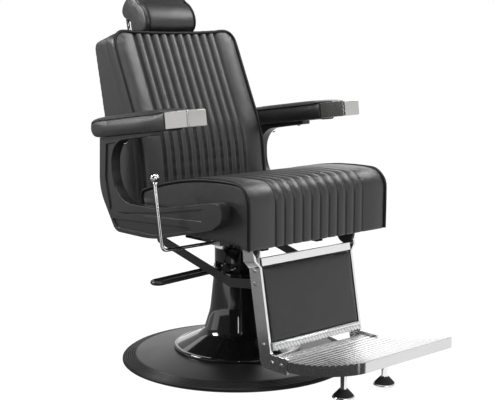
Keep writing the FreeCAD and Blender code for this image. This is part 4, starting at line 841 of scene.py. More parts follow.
def dress(node: str, width: float, body: str, slot: str, palette: Palette,
          finish: Optional[str] = None) -> None:
    """Puts a copy with rounded edges in a rigid node's place.

    Args:
        node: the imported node.
        width: the rounding's width in metres.
        body: the body it rides on.
        slot: the record's material slot.
        palette: the finishes.
        finish: the finish, if it isn't the slot's own.
    """
    fit(softened_copy(node, width), body, slot, palette, finish, (node,))


def fit_piping(name: str, points: Sequence[Point], radius: float, body: str, palette: Palette,
               closed: bool = False) -> None:
    """Makes a run of piping and fixes it to its body.

    Args:
        name: the piece's name.
        points: the line's points.
        radius: the piping's radius.
        body: the body it rides on.
        palette: the finishes.
        closed: whether the line returns to its start.
    """
    fit(welt(name, points, radius, closed), body, "vinyl", palette, "piping")


# Upholstery


@dataclass
class Padding:
    """A stuffed piece: remeshed from its solids, swollen by pressure and sewn."""

    nodes: Tuple[str, ...]
    body: str
    voxel: float
    cap: float
    pressure: float = 4.0
    fill: float = 0.7
    smoothing: int = 2
    frames: int = 20

    UNDERSIDE = -0.6

    def build(self, palette: Palette) -> bpy.types.Object:
        """Makes the padded piece and puts it in the solids' place.

        Args:
            palette: the finishes.

        Returns:
            The padded piece.
        """
        piece = joined_copy(self.nodes, f"{self.nodes[0]}_upholstery")
        finish_modifier(piece, "REMESH", mode="VOXEL", voxel_size=self.voxel, adaptivity=0.0)
        finish_modifier(piece, "SMOOTH", factor=0.5, iterations=self.smoothing)
        self.swell(piece)
        finish_modifier(piece, "SMOOTH", factor=0.5, iterations=self.smoothing)
        finish_modifier(piece, "SUBSURF", levels=1, render_levels=1)
        self.sew(piece)
        take_up(piece)
        bpy.ops.object.shade_smooth()
        fit(piece, self.body, "vinyl", palette, None, self.nodes)
        return piece

    def held(self, places: np.ndarray, normals: np.ndarray) -> np.ndarray:
        """Which vertices the pressure doesn't move.

        Args:
            places: vertex places; not used here.
            normals: vertex normals.

        Returns:
            A truth value for each vertex.
        """
        return normals[:, 2] < self.UNDERSIDE

    def swell(self, piece: bpy.types.Object) -> None:
        """Blows the piece up with a cloth simulation and limits how far it moves.

        Args:
            piece: the remeshed piece.
        """
        before = vertex_rows(piece)
        pinned = np.nonzero(self.held(before, vertex_rows(piece, "normal")))[0]
        group = piece.vertex_groups.new(name="held")
        group.add([int(i) for i in pinned], 1.0, "REPLACE")
        take_up(piece)
        bpy.ops.object.modifier_add(type="CLOTH")
        cloth = piece.modifiers[-1]
        cloth.settings.quality = 4
        cloth.settings.use_pressure = True
        cloth.settings.uniform_pressure_force = self.pressure
        cloth.settings.effector_weights.gravity = 0.0
        cloth.settings.vertex_group_mass = "held"
        cloth.collision_settings.use_collision = False
        cloth.point_cache.frame_start = 1
        cloth.point_cache.frame_end = self.frames
        for number in range(1, self.frames + 1):
            bpy.context.scene.frame_set(number)
        take_up(piece)
        bpy.ops.object.modifier_apply(modifier=cloth.name)
        bpy.context.scene.frame_set(1)
        moved = vertex_rows(piece) - before
        reach = np.linalg.norm(moved, axis=1, keepdims=True)
        limit = np.minimum(1.0, self.cap / np.maximum(reach, 1e-9))
        move_vertices(piece, before + moved * limit)
        piece.vertex_groups.clear()

    def sew(self, piece: bpy.types.Object) -> None:
        """Stores how deep each point lies in a seam; plain pads have none."""
        self.mark(piece)

    @staticmethod
    def mark(piece: bpy.types.Object, depth: Optional[np.ndarray] = None) -> None:
        """Writes the seam depth, which the vinyl reads to paint shade into its colour along the seams and to
        roughen them.

        Args:
            piece: the padded piece.
            depth: a value from 0 to 1 for each vertex, left out where there is no seam.
        """
        values = np.zeros(len(piece.data.vertices)) if depth is None else depth
        layer = piece.data.attributes.new("seam", "FLOAT", "POINT")
        layer.data.foreach_set("value", np.asarray(values, dtype=np.float32))


@dataclass
class ChannelledPadding(Padding):
    """A padded piece with parallel sewn channels across its show face."""

    channels: int = 10
    pitch: float = 0.034
    groove: float = 0.0018
    groove_width: float = 0.0021
    seam_shade_width: float = 0.0024
    facing: Callable[[np.ndarray, np.ndarray], np.ndarray] = lambda places, normals: normals[:, 2]

    HIDDEN = 0.25
    SEAM_SHARE = 0.6
    SHOW_START = 0.15
    SHOW_SPAN = 0.35

    def seam_distance(self, places: np.ndarray) -> np.ndarray:
        """Distance across to the nearest seam line.

        Args:
            places: vertex places.

        Returns:
            The distance for each vertex.
        """
        half = self.channels * self.pitch / 2
        nearest = np.clip(np.round((places[:, 0] + half) / self.pitch), 0, self.channels)
        return np.abs(places[:, 0] + half - nearest * self.pitch)

    def held(self, places: np.ndarray, normals: np.ndarray) -> np.ndarray:
        """Holds the seams down and the hidden faces still."""
        show = self.facing(places, normals)
        return (show < self.HIDDEN) | (self.seam_distance(places) < self.voxel * self.SEAM_SHARE)

    def sew(self, piece: bpy.types.Object) -> None:
        """Draws the show face in along each seam and marks the seams, where the vinyl paints shade into its
        colour.

        Args:
            piece: the padded piece.
        """
        places = vertex_rows(piece)
        normals = vertex_rows(piece, "normal")
        show = np.clip((self.facing(places, normals) - self.SHOW_START) / self.SHOW_SPAN, 0, 1)
        away = self.seam_distance(places)
        near = np.exp(-(away / self.groove_width) ** 2)
        move_vertices(piece, places - normals * (near * show * self.groove)[:, None])
        # The mark darkens the vinyl along each groove as painted shade.
        self.mark(piece, np.exp(-(away / self.seam_shade_width) ** 2) * show)


@dataclass
class Seat:
    """The seat cushion with its side piping."""

    half_width: float = 0.2690
    crest: Flat = (-0.250, 0.590)
    top_radius: float = 1.100
    rear: float = 0.113
    skin: float = 0.030
    rear_round: float = 0.028
    nose: Flat = (-0.292, 0.530)
    nose_radius: float = 0.060
    lip: float = 0.413
    show_front: float = -0.29
    show_low: float = 0.405
    rear_heights: Point = (0.440, 0.470, 0.494)
    pipe: float = 0.0054
    proud: float = 0.45

    def facing(self, places: np.ndarray, normals: np.ndarray) -> np.ndarray:
        """How much a point faces up or forwards on the show face."""
        front = np.where(places[:, 1] < self.show_front, -normals[:, 1], 0.0)
        return np.where(places[:, 2] > self.show_low, np.maximum(normals[:, 2], front), -1.0)

    def side_line(self) -> List[Flat]:
        """The seat's side edge from its rear foot over the top to the front lip.

        Returns:
            The line's points as Y and Z.
        """
        low = self.crest[1] - self.top_radius
        fall = math.asin((self.rear - self.crest[0]) / (self.top_radius - self.skin))
        out = Vector((math.sin(fall), math.cos(fall)))
        ahead = Vector((-out.y, out.x))
        corner = Vector((self.crest[0], low)) + out * self.top_radius
        turn = corner + (ahead - out) * self.rear_round
        line = [(self.rear, height) for height in self.rear_heights]
        for step in range(9):
            angle = math.radians(90 * step / 8)
            line.append(tuple(turn + (out * math.sin(angle) - ahead * math.cos(angle)) * self.rear_round))
        start = fall - self.rear_round / self.top_radius
        for step in range(1, 25):
            angle = start * (1 - step / 24)
            line.append((self.crest[0] + self.top_radius * math.sin(angle),
                         low + self.top_radius * math.cos(angle)))
        for step in range(19):
            angle = math.radians(90 * step / 18)
            line.append((self.nose[0] - self.nose_radius * math.sin(angle),
                         self.nose[1] + self.nose_radius * math.cos(angle)))
        return line + [(self.nose[0] - self.nose_radius, self.lip + 0.03 * (3 - i)) for i in range(4)]

    def build(self, palette: Palette) -> None:
        """Makes the cushion and both runs of piping.

        Args:
            palette: the finishes.
        """
        cushion = ChannelledPadding(("seat_cushion",), "seat", voxel=0.00425, cap=0.0018, pressure=2.5,
                                    fill=0.8, facing=self.facing).build(palette)
        for side in Side:
            line = [(side.value * self.half_width, y, z) for y, z in self.side_line()]
            laid = laid_on(cushion, line, self.pipe * self.proud)
            fit_piping(f"seat_piping_{side.label}", laid, self.pipe, "seat", palette)


@dataclass
class Backrest:
    """The channelled back cushion, its upholstered shell and the piping between them."""

    half_width: float = 0.2385
    start: Flat = (0.1275, 0.472)
    lower_lean: float = 6.5
    upper_lean: float = 24.5
    lower_length: float = 0.1508
    bend_radius: float = 0.300
    upper_length: float = 0.2976
    corner: float = 0.040
    dip: float = 0.006
    sink: float = 0.0045
    pipe: float = 0.0054
    proud: float = 0.45
    pitch: float = 0.0317

    @staticmethod
    def facing(places: np.ndarray, normals: np.ndarray) -> np.ndarray:
        """How much a point faces forwards and a little up."""
        return -normals[:, 1] * 0.95 + normals[:, 2] * 0.3

    def front_at(self, travel: float) -> Flat:
        """The front edge's place at a distance up the back.

        Args:
            travel: metres along the front from its bottom.

        Returns:
            Y and Z of the edge.
        """
        low = math.radians(self.lower_lean)
        high = math.radians(self.upper_lean)
        bend = self.bend_radius * (high - low)
        y, z = self.start
        y, z = y + self.sink * math.cos(low), z - self.sink * math.sin(low)
        run = min(travel, self.lower_length)
        y, z = y + run * math.sin(low), z + run * math.cos(low)
        if travel <= self.lower_length:
            return y, z
        radius = self.bend_radius - self.sink
        turn = min(1.0, (travel - self.lower_length) / bend) * (high - low)
        y += radius * (math.cos(low) - math.cos(low + turn))
        z += radius * (math.sin(low + turn) - math.sin(low))
        rest = max(0.0, travel - self.lower_length - bend)
        return y + rest * math.sin(high), z + rest * math.cos(high)

    def edge_line(self) -> List[Point]:
        """The cushion's front edge, up one side, over the top and down the other.

        Returns:
            The edge's points.
        """
        length = self.lower_length + self.upper_length
        length += self.bend_radius * math.radians(self.upper_lean - self.lower_lean) - 0.002
        side = [(self.half_width, length * step / 60) for step in range(1, 56)]
        side = [(x, s) for x, s in side if s < length - self.corner]
        for step in range(9):
            angle = math.radians(90 * step / 8)
            side.append((self.half_width - self.corner * (1 - math.cos(angle)),
                         length - self.corner * (1 - math.sin(angle))))
        top = self.half_width - self.corner
        for step in range(1, 24):
            x = top * (1 - step / 24)
            side.append((x, length - self.dip * (1 - (x / top) ** 2)))
        full = side + [(0.0, length - self.dip)] + [(-x, s) for x, s in reversed(side)]
        return [(x, *self.front_at(s)) for x, s in full]

    def build(self, palette: Palette) -> None:
        """Makes the cushion with its shell, and the piping.

        Args:
            palette: the finishes.
        """
        cushion = ChannelledPadding(("back_cushion", "back_shell"), "back", voxel=self.pitch / 7, cap=0.005,
                                    pressure=5.0, fill=0.8, pitch=self.pitch, groove=0.0058,
                                    groove_width=0.0046, seam_shade_width=0.0056,
                                    facing=self.facing).build(palette)
        laid = laid_on(cushion, self.edge_line(), self.pipe * self.proud)
        fit_piping("back_piping", laid, self.pipe, "back", palette)


@dataclass
class Headrest:
    """The kidney-shaped headrest pad with piped ends."""

    end: float = 0.088
    middle: Flat = (0.374, 1.036)
    pipe: float = 0.0040
    proud: float = 0.3
    steps: int = 72
    slice_half: float = 0.003
    nearest: int = 5

    def end_loop(self, pad: bpy.types.Object, side: Side) -> List[Point]:
        """The line round the pad near one end.

        Args:
            pad: the padded piece.
            side: which end.

        Returns:
            The loop's points.
        """
        places = vertex_rows(pad)
        near = places[np.abs(places[:, 0] - side.value * self.end) < self.slice_half]
        angles = np.arctan2(near[:, 2] - self.middle[1], near[:, 1] - self.middle[0])
        reach = np.hypot(near[:, 2] - self.middle[1], near[:, 1] - self.middle[0])
        loop = []
        for step in range(self.steps):
            angle = 2 * math.pi * step / self.steps - math.pi
            apart = np.abs(np.angle(np.exp(1j * (angles - angle))))
            radius = float(reach[np.argsort(apart)[:self.nearest]].max())
            loop.append((side.value * self.end, self.middle[0] + radius * math.cos(angle),
                         self.middle[1] + radius * math.sin(angle)))
        return laid_on(pad, loop, self.pipe * self.proud, True)

    def build(self, palette: Palette) -> None:
        """Makes the pad and the piping at both ends.

        Args:
            palette: the finishes.
        """
        pad = Padding(("headrest_pad",), "headrest", voxel=0.004, cap=0.0016, pressure=1.5, fill=0.9,
                      smoothing=4).build(palette)
        for side in Side:
            loop = self.end_loop(pad, side)
            fit_piping(f"headrest_piping_{side.label}", loop, self.pipe, "headrest", palette, True)


@dataclass
class ArmRests:
    """Both arm frames, their pads with piping and tongues, and the chrome end blocks."""

    inner: float = 0.268
    width: float = 0.064
    rear: float = 0.280
    bottom: float = 0.6696
    slope: float = 7.3
    length: float = 0.3670
    shoulder: float = 0.0505
    block_top: float = 0.049
    tongue: float = 0.060
    crown: float = 0.0575
    edge: float = 0.0012
    pipe: float = 0.0022
    proud: float = 0.3
    seam_inset: float = 0.002
    seam_ends: Flat = (0.012, 0.014)
    seam_drop: Flat = (0.024, 0.6)
    loop_half: float = 0.028
    loop_swell: float = 1.02
    rim_radius: float = 0.0020
    joint_radius: float = 0.0018
    overlap: float = 0.030
    tongue_width: float = 0.98
    tongue_taper: Point = (0.30, 0.35, 1.5)
    tongue_camber: float = 0.55
    tongue_swell: float = 1.05
    tongue_gaps: Flat = (0.0003, 0.0006)
    bolt_places: Tuple[Point, ...] = ((0.1553, 0.6602, 27.0), (0.0398, 0.6882, 8.6))
    bolt_x: float = 0.295
    bolt_radius: float = 0.0055
    square: float = 0.45

    def place(self, side: Side, across: float, along: float, up: float) -> Point:
        """A point of the pad in the chair's frame.

        Args:
            side: which arm.
            across: metres from the pad's low X side.
            along: metres forward from its rear end.
            up: metres above its underside.

        Returns:
            The point.
        """
        lean = math.radians(self.slope)
        low = self.inner if side is Side.LEFT else -(self.inner + self.width)
        return (low + across, self.rear - along * math.cos(lean) + up * math.sin(lean),
                self.bottom + along * math.sin(lean) + up * math.cos(lean))

    def seam_line(self, side: Side, across: float) -> List[Point]:
        """A pad's upper seam from its rear end to its front.

        Args:
            side: which arm.
            across: metres from the pad's low X side.

        Returns:
            The seam's points.
        """
        line = []
        for step in range(31):
            along = self.seam_ends[0] + (self.length - self.seam_ends[1]) * step / 30
            drop = max(0.0, self.seam_drop[0] - along) * self.seam_drop[1]
            line.append(self.place(side, across, along, self.shoulder - drop))
        return line

    def end_loop(self, side: Side, back: float) -> List[Point]:
        """The line round a pad's front end.

        Args:
            side: which arm.
            back: how far behind the end it runs.

        Returns:
            The loop's points.
        """
        half = self.width / 2
        loop = []
        for step in range(48):
            angle = 2 * math.pi * step / 48
            wide = abs(math.cos(angle)) ** self.square * math.copysign(1.0, math.cos(angle))
            tall = abs(math.sin(angle)) ** self.square * math.copysign(1.0, math.sin(angle))
            across = half + half * self.loop_swell * wide
            up = self.loop_half + self.loop_half * tall
            loop.append(self.place(side, across, self.length - back, up))
        return loop

    def make_bolt(self) -> bpy.types.Object:
        """A domed bolt head about the origin, facing down.

        Returns:
            The bolt head.
        """
        deselect_all()
        bpy.ops.mesh.primitive_uv_sphere_add(segments=24, ring_count=12, radius=self.bolt_radius)
        piece = bpy.context.object
        with edit_mode():
            bpy.ops.transform.resize(value=(1.0, 1.0, 0.55))
            bpy.ops.mesh.bisect(plane_co=(0, 0, 0.0006), plane_no=(0, 0, 1), clear_outer=True, use_fill=True)
        smooth_shade(piece, 40.0)
        return piece

    def place_bolts(self, side: Side, palette: Palette) -> None:
        """Sets the pad's bolts into the underside of an arm's top bar.

        Args:
            side: which arm.
            palette: the finishes.
        """
        for number, (y, z, turn) in enumerate(self.bolt_places):
            bolt = self.make_bolt()
            bolt.name = f"arm_bolt_{side.label}_{number + 1}"
            bolt.data.transform(Matrix.Translation((side.value * self.bolt_x, y, z))
                                @ Matrix.Rotation(-math.radians(turn), 4, "X"))
            fit(bolt, "seat", "screw_steel", palette)

    def make_tongue(self, side: Side) -> bpy.types.Object:
        """The pad's top, carried forward as a thin lip over the chrome block.

        Args:
            side: which arm.

        Returns:
            The lip.
        """
        deselect_all()
        bpy.ops.mesh.primitive_grid_add(x_subdivisions=14, y_subdivisions=16, size=1.0)
        piece = bpy.context.object
        piece.name = f"arm_tongue_{side.label}"
        finish_modifier(piece, "SOLIDIFY", thickness=0.02, offset=-1.0)
        places = vertex_rows(piece)
        taper, taper_start, taper_power = self.tongue_taper
        under, over = self.tongue_gaps
        moved = []
        for x, y, z in places:
            share = 0.5 - y
            narrow = 1.0 - taper * max(0.0, share - taper_start) ** taper_power
            across = self.width * (0.5 + x * narrow * self.tongue_width)
            along = self.length - self.overlap + share * (self.tongue + self.overlap)
            lift = max(0.0, 1 - (2 * x) ** 2 * self.tongue_camber) * (1 - share ** 3)
            top = self.block_top + over + (self.crown - self.block_top) * lift * self.tongue_swell
            up = top if z > -0.01 else self.block_top + under
            moved.append(self.place(side, across, along, up))
        move_vertices(piece, np.array(moved))
        finish_modifier(piece, "SUBSURF", levels=1, render_levels=1)
        take_up(piece)
        bpy.ops.object.shade_smooth()
        Padding.mark(piece)
        return piece

    def build(self, palette: Palette) -> None:
        """Makes both arms.

        Args:
            palette: the finishes.
        """
        for side in Side:
            label = side.label
            dress(f"arm_{label}", self.edge, "seat", "satin_black", palette)
            pad = Padding((f"arm_pad_{label}",), "seat", voxel=0.004, cap=0.003, pressure=4.0, fill=0.85,
                          smoothing=3).build(palette)
            for edge, across in (("low_x", self.seam_inset), ("high_x", self.width - self.seam_inset)):
                line = laid_on(pad, self.seam_line(side, across), self.pipe * self.proud)
                fit_piping(f"arm_piping_{label}_{edge}", line, self.pipe, "seat", palette)
            line = laid_on(pad, self.end_loop(side, 0.006), 0.0004, True)
            rim = welt(f"arm_rim_{label}", line, self.rim_radius, True)
            Padding.mark(rim)
            fit(rim, "seat", "vinyl", palette)
            line = laid_on(pad, self.end_loop(side, 0.0005), 0.0, True)
            fit_piping(f"arm_joint_{label}", line, self.joint_radius, "seat", palette, True)
            fit(self.make_tongue(side), "seat", "vinyl", palette)
            dress(f"arm_end_{label}", 0.0012, "seat", "chrome", palette, "cap_satin")
            self.place_bolts(side, palette)
        dress("arm_front_plates", 0.0016, "seat", "chrome", palette, "cap_satin")


# Base and column


@dataclass
class Base:
    """The round base: pressed plate, ribbed rim and bell-shaped cover."""

    rim_radius: float = 0.350
    rim_inner: float = 0.310
    rim_seat: float = 0.290
    rim_heights: Flat = (0.0115, 0.0200)
    rim_lead: float = 0.009
    ring_pitch: float = 0.0064
    ring_ends: Flat = (0.0055, 0.0065)
    ring: Tuple[Flat, ...] = ((0.0, -0.0002), (0.0012, 0.0016), (0.0036, 0.0020), (0.0048, 0.0006))
    plate_under: float = 0.012
    plate_top: float = 0.034
    socket: float = 0.064
    bush: float = 0.05255
    pin: float = 0.0004
    bell_top: float = 0.271
    bell_throat: float = 0.0724
    wall: float = 0.004
    steps: int = 192

    def rim_profile(self) -> List[Flat]:
        """The rim's section with its raised rings.

        Returns:
            Radius and height in order round the section.
        """
        edge, inner, seat = self.rim_radius, self.rim_inner, self.rim_seat
        low, high = self.rim_heights
        outline = [(seat, 0.0), (edge - 0.002, 0.0), (edge, 0.002), (edge, 0.0065), (edge - 0.0015, 0.0085)]
        start = edge - self.rim_lead
        slope = (high - low) / (inner - start)
        radius = edge - self.ring_ends[0]
        while radius > inner + self.ring_ends[1]:
            height = low + slope * (radius - start)
            outline += [(radius - inward, height + up) for inward, up in self.ring]
            radius -= self.ring_pitch
        return outline + [(inner + 0.0025, high), (inner, high), (inner, self.plate_under),
                          (seat, self.plate_under)]

    def plate_profile(self) -> List[Flat]:
        """The pressed plate's section with the socket at its middle.

        Returns:
            Radius and height in order round the section.
        """
        under, top = self.plate_under, self.plate_top
        return rounded_line([
            (self.socket, 0.004, 0), (self.socket, 0.026, 0), (self.rim_seat, under, 0),
            (self.rim_inner, under, 0), (self.rim_inner, 0.020, 0.002), (0.196, top, 0.030),
            (self.socket, top, 0), (self.socket, 0.070, 0.002), (self.bush, 0.070, 0), (self.bush, under, 0),
            (self.pin, under, 0), (self.pin, 0.004, 0)])

    def bell_profile(self) -> List[Flat]:
        """The bell cover's section with its rolled foot.

        Returns:
            Radius and height in order round the section.
        """
        foot = self.plate_top
        outer = rounded_line([(0.186, foot, 0), (0.1935, foot, 0.003), (0.1935, 0.0445, 0.0055),
                              (0.184, 0.0455, 0.004), (0.104, 0.084, 0.045), (0.084, 0.150, 0.200),
                              (self.bell_throat, self.bell_top, 0)], 14)
        inner = rounded_line([(self.bell_throat - self.wall, self.bell_top, 0), (0.080, 0.150, 0.200),
                              (0.100, 0.082, 0.045), (0.186, 0.040, 0)], 10)
        return outer + inner

    def build(self, palette: Palette) -> None:
        """Makes the three turned pieces and the neck.

        Args:
            palette: the finishes.
        """
        for name, profile, slot, node in (
                ("base_rim_ribbed", self.rim_profile(), "rim_rubber", "base_rim"),
                ("base_plate_pressed", self.plate_profile(), "satin_black", "base_plate"),
                ("bell_cover_rolled", self.bell_profile(), "gloss_black", "bell_cover")):
            fit(spun(name, profile, self.steps), "base", slot, palette, None, (node,))
        dress("neck_cover", 0.0016, "pump", "gloss_black", palette)


@dataclass
class Pedal:
    """The pump pedal's fork and loop, and the plated stop in the neck's opening."""

    stop_angles: Flat = (205.0, 227.0)
    stop_heights: Flat = (0.277, 0.290)
    stop_reach: Flat = (0.0490, 0.0612)
    stop_radius: float = 0.0040

    def stop_line(self) -> List[Point]:
        """The stop's line: out of the pump, along inside the neck and back to the pump.

        Returns:
            The line's points.
        """
        line = []
        for step in range(13):
            share = step / 12
            angle = math.radians(self.stop_angles[0] + (self.stop_angles[1] - self.stop_angles[0]) * share)
            bow = math.sin(math.pi * share) ** 0.5 if 0 < step < 12 else 0.0
            reach = self.stop_reach[0] + (self.stop_reach[1] - self.stop_reach[0]) * bow
            height = self.stop_heights[0] + (self.stop_heights[1] - self.stop_heights[0]) * share
            line.append((reach * math.cos(angle), reach * math.sin(angle), height))
        return line

    def build(self, palette: Palette) -> None:
        """Rounds the fork's edges, smooths the loop and adds the stop.

        Args:
            palette: the finishes.
        """
        dress("pedal_fork", 0.0018, "pedal", "chrome", palette, "gloss_black")
        loop = copy_of("pedal_loop", "pedal_loop_dressed")
        smooth_shade(loop, 40.0)
        fit(loop, "pedal", "frame_black", palette, "satin_black", ("pedal_loop",))
        fit(welt("pedal_stop", self.stop_line(), self.stop_radius, False, 6), "pump", "chrome", palette)


# Footrest


@dataclass
class Footrest:
    """The swinging footrest: strips, rail, calf pad, heel strip, footboard, screws and feet."""

    screw_radius: float = 0.0052
    screw_face: float = 0.183
    screw_places: Tuple[Flat, ...] = (
        (-0.2794, 0.3380), (-0.2820, 0.3010), (-0.3157, 0.1403), (-0.3845, 0.0960), (-0.3490, 0.0960))
    foot_x: float = 0.082
    foot_y: float = -0.520
    foot_ribs: int = 24
    hinge: Flat = (-0.268, 0.400)
    tilt: float = 10.4
    bar_count: int = 28
    bar_span: float = 0.326
    bar_lean: float = -42.0
    rear_bars_y: float = -0.3660
    dish: Point = (-0.335, 0.107, 1.9)
    tread_front: float = -0.673
    tread_half: float = 0.1795
    tread_depth: float = 0.001
    heel_at: Flat = (-0.0261, -0.2785)
    heel_edge_at: Flat = (-0.0276, -0.2674)
    rear_bars_rise: float = 0.0016
    foot_cone: Flat = (0.0250, 0.0436)
    painted_cone: Flat = (0.0244, 0.0439)
    foot_stem: float = 0.0095
    foot_rib: float = 0.045

    def make_screw(self) -> bpy.types.Object:
        """A domed cross-recess screw head about the origin, facing +X.

        Returns:
            The screw head.
        """
        deselect_all()
        bpy.ops.mesh.primitive_cylinder_add(vertices=24, radius=self.screw_radius, depth=0.0024,
                                            location=(0.0012, 0, 0), rotation=(0, math.pi / 2, 0))
        piece = bpy.context.object
        set_down(piece)
        finish_modifier(piece, "BEVEL", width=0.0012, segments=4, limit_method="ANGLE",
                        angle_limit=math.radians(60))
        cutters = []
        for size in ((0.0022, 0.0016, 0.0062), (0.0022, 0.0062, 0.0016)):
            deselect_all()
            bpy.ops.mesh.primitive_cube_add(size=1.0, location=(0.0024, 0, 0), scale=size)
            cutters.append(bpy.context.object)
        for cutter in cutters:
            finish_modifier(piece, "BOOLEAN", operation="DIFFERENCE", object=cutter, solver="EXACT")
            bpy.data.objects.remove(cutter)
        smooth_shade(piece, 30.0)
        return piece

    def place_screws(self, palette: Palette) -> None:
        """Sets a copy of the screw at each place on both strips, each side joined as one piece.

        Args:
            palette: the finishes.
        """
        model = self.make_screw()
        for side in Side:
            flip = Matrix.Rotation(math.pi if side is Side.RIGHT else 0.0, 4, "Z")
            places = []
            for number, (y, z) in enumerate(self.screw_places):
                turn = Matrix.Rotation(math.radians(17 + 31 * number), 4, "X")
                places.append(Matrix.Translation((side.value * self.screw_face, y, z)) @ flip @ turn)
            screws = placed_copies(model, f"strip_screws_{side.label}", places)
            nodes = ("strip_screws",) if side is Side.RIGHT else ()
            fit(screws, "footrest", "screw_steel", palette, None, nodes)
        bpy.data.objects.remove(model)

    @staticmethod
    def make_bar(size: Point, ease: float) -> bpy.types.Object:
        """A raised bar about the origin with eased edges.

        Args:
            size: its width, depth and height.
            ease: the rounding of its edges.

        Returns:
            The bar.
        """
        deselect_all()
        bpy.ops.mesh.primitive_cube_add(size=1.0, scale=size)
        bar = bpy.context.object
        set_down(bar)
        finish_modifier(bar, "BEVEL", width=ease, segments=3, limit_method="ANGLE",
                        angle_limit=math.radians(60))
        return bar

    def row_of_bars(self, name: str, size: Point, ease: float, places: Sequence[Matrix],
                    palette: Palette, finish: str) -> None:
        """Makes a bar, copies it to each place and fits the row.

        Args:
            name: the row's name.
            size: a bar's width, depth and height.
            ease: the rounding of its edges.
            places: where each bar goes.
            palette: the finishes.
            finish: the row's finish.
        """
        model = self.make_bar(size, ease)
        row = placed_copies(model, name, places)
        bpy.data.objects.remove(model)
        smooth_shade(row, 40.0)
        fit(row, "footrest", "tread_aluminium", palette, finish)

    def board_top(self, y: float) -> float:
        """The height of the footboard's dished top at a place along it."""
        start, low, doubled_radius = self.dish
        return low + (y - start) ** 2 / doubled_radius

    def on_tread(self, face: bpy.types.MeshPolygon) -> bool:
        """Whether a face of the footboard lies among the ridges.

        Args:
            face: the face.

        Returns:
            True for a face among them.
        """
        place = face.center
        inside = place.y > self.tread_front and abs(place.x) < self.tread_half
        return inside and face.normal.z > 0.2 and place.z > self.board_top(place.y) - self.tread_depth

    def rib_treads(self, palette: Palette) -> None:
        """Covers the heel strip's face and the board's rear end with short bars.

        Args:
            palette: the finishes.
        """
        # The heel strip under the ribs takes the darker aluminium, painted shade between them.
        dress("heel_strip", 0.0012, "footrest", "tread_aluminium", palette, "heel_painted_shade")
        spread = [self.bar_span * (number / (self.bar_count - 1) - 0.5) for number in range(self.bar_count)]
        hang = Matrix.Translation((0.0, *self.hinge)) @ Matrix.Rotation(-math.radians(self.tilt), 4, "X")
        lean = Matrix.Rotation(math.radians(self.bar_lean), 4, "Y")
        heel = [hang @ Matrix.Translation((x, *self.heel_at)) @ lean for x in spread]
        self.row_of_bars("heel_strip_ribs", (0.0074, 0.0034, 0.0150), 0.0015, heel, palette, "rib_aluminium")
        edge = [hang @ Matrix.Translation((0.0, *self.heel_edge_at))]
        self.row_of_bars("heel_strip_edge", (0.3460, 0.0040, 0.0062), 0.0015, edge, palette,
                         "strip_aluminium")
        y = self.rear_bars_y
        rise = math.atan2(self.board_top(y - 0.01) - self.board_top(y + 0.01), 0.02)
        laid = Matrix.Rotation(-rise, 4, "X")
        top = self.board_top(y) + self.rear_bars_rise
        rear = [Matrix.Translation((x, y, top)) @ laid for x in spread]
        self.row_of_bars("board_rear_ribs", (0.0070, 0.0300, 0.0038), 0.0013, rear, palette, "rib_aluminium")

    @staticmethod
    def foot_profile() -> List[Flat]:
        """A screw foot's section: plated rim, cone, collar and stem."""
        return [(0.0004, 0.017), (0.0290, 0.017), (0.0306, 0.0180), (0.0310, 0.0200), (0.0306, 0.0224),
                (0.0292, 0.0240), (0.0282, 0.0246), (0.0255, 0.0272), (0.0222, 0.0308), (0.0186, 0.0348),
                (0.0150, 0.0388), (0.0122, 0.0424), (0.0110, 0.0440), (0.0085, 0.0440), (0.0085, 0.1045),
                (0.0004, 0.1045)]

    def make_foot(self, side: Side) -> bpy.types.Object:
        """A turned foot whose cone has upright ribs.

        Args:
            side: which foot.

        Returns:
            The foot.
        """
        foot = spun(f"screw_foot_{side.label}_ribbed", self.foot_profile(), 120)
        places = vertex_rows(foot)
        angle = np.arctan2(places[:, 1], places[:, 0])
        radius = np.hypot(places[:, 0], places[:, 1])
        low, high = self.foot_cone
        cone = (places[:, 2] > low) & (places[:, 2] < high) & (radius > self.foot_stem)
        share = np.where(cone, 1 + self.foot_rib * np.cos(self.foot_ribs * angle), 1.0)
        places[:, :2] *= share[:, None]
        move_vertices(foot, places)
        smooth_shade(foot, 50.0)
        foot.data.transform(Matrix.Translation((side.value * self.foot_x, self.foot_y, 0)))
        return foot

    def build(self, palette: Palette) -> None:
        """Makes the footrest's pieces.

        Args:
            palette: the finishes.
        """
        for side in Side:
            label = side.label
            dress(f"strip_{label}", 0.0014, "footrest", "strip_aluminium", palette)
            dress(f"link_{label}", 0.0009, "links", "satin_black", palette)
            dress(f"hanger_{label}", 0.0012, "seat", "satin_black", palette)
            foot = fit(self.make_foot(side), f"foot_{label}", "foot_black", palette, None,
                       (f"screw_foot_{label}",))
            low, high = self.painted_cone
            palette.coat_faces(foot, "chrome", lambda face: not low < face.center.z < high)
        dress("top_rail", 0.0012, "footrest", "strip_aluminium", palette)
        board = eased_copy("footboard", 0.0010)
        fit(board, "footrest", "tread_aluminium", palette, None, ("footboard",))
        # The ridged faces take the tread with painted highlight on the tops and painted shade in the
        # valleys.
        palette.coat_faces(board, "tread_painted_light", self.on_tread)
        Padding(("calf_pad",), "footrest", voxel=0.004, cap=0.003, pressure=3.0, fill=0.8).build(palette)
        self.rib_treads(palette)
        self.place_screws(palette)


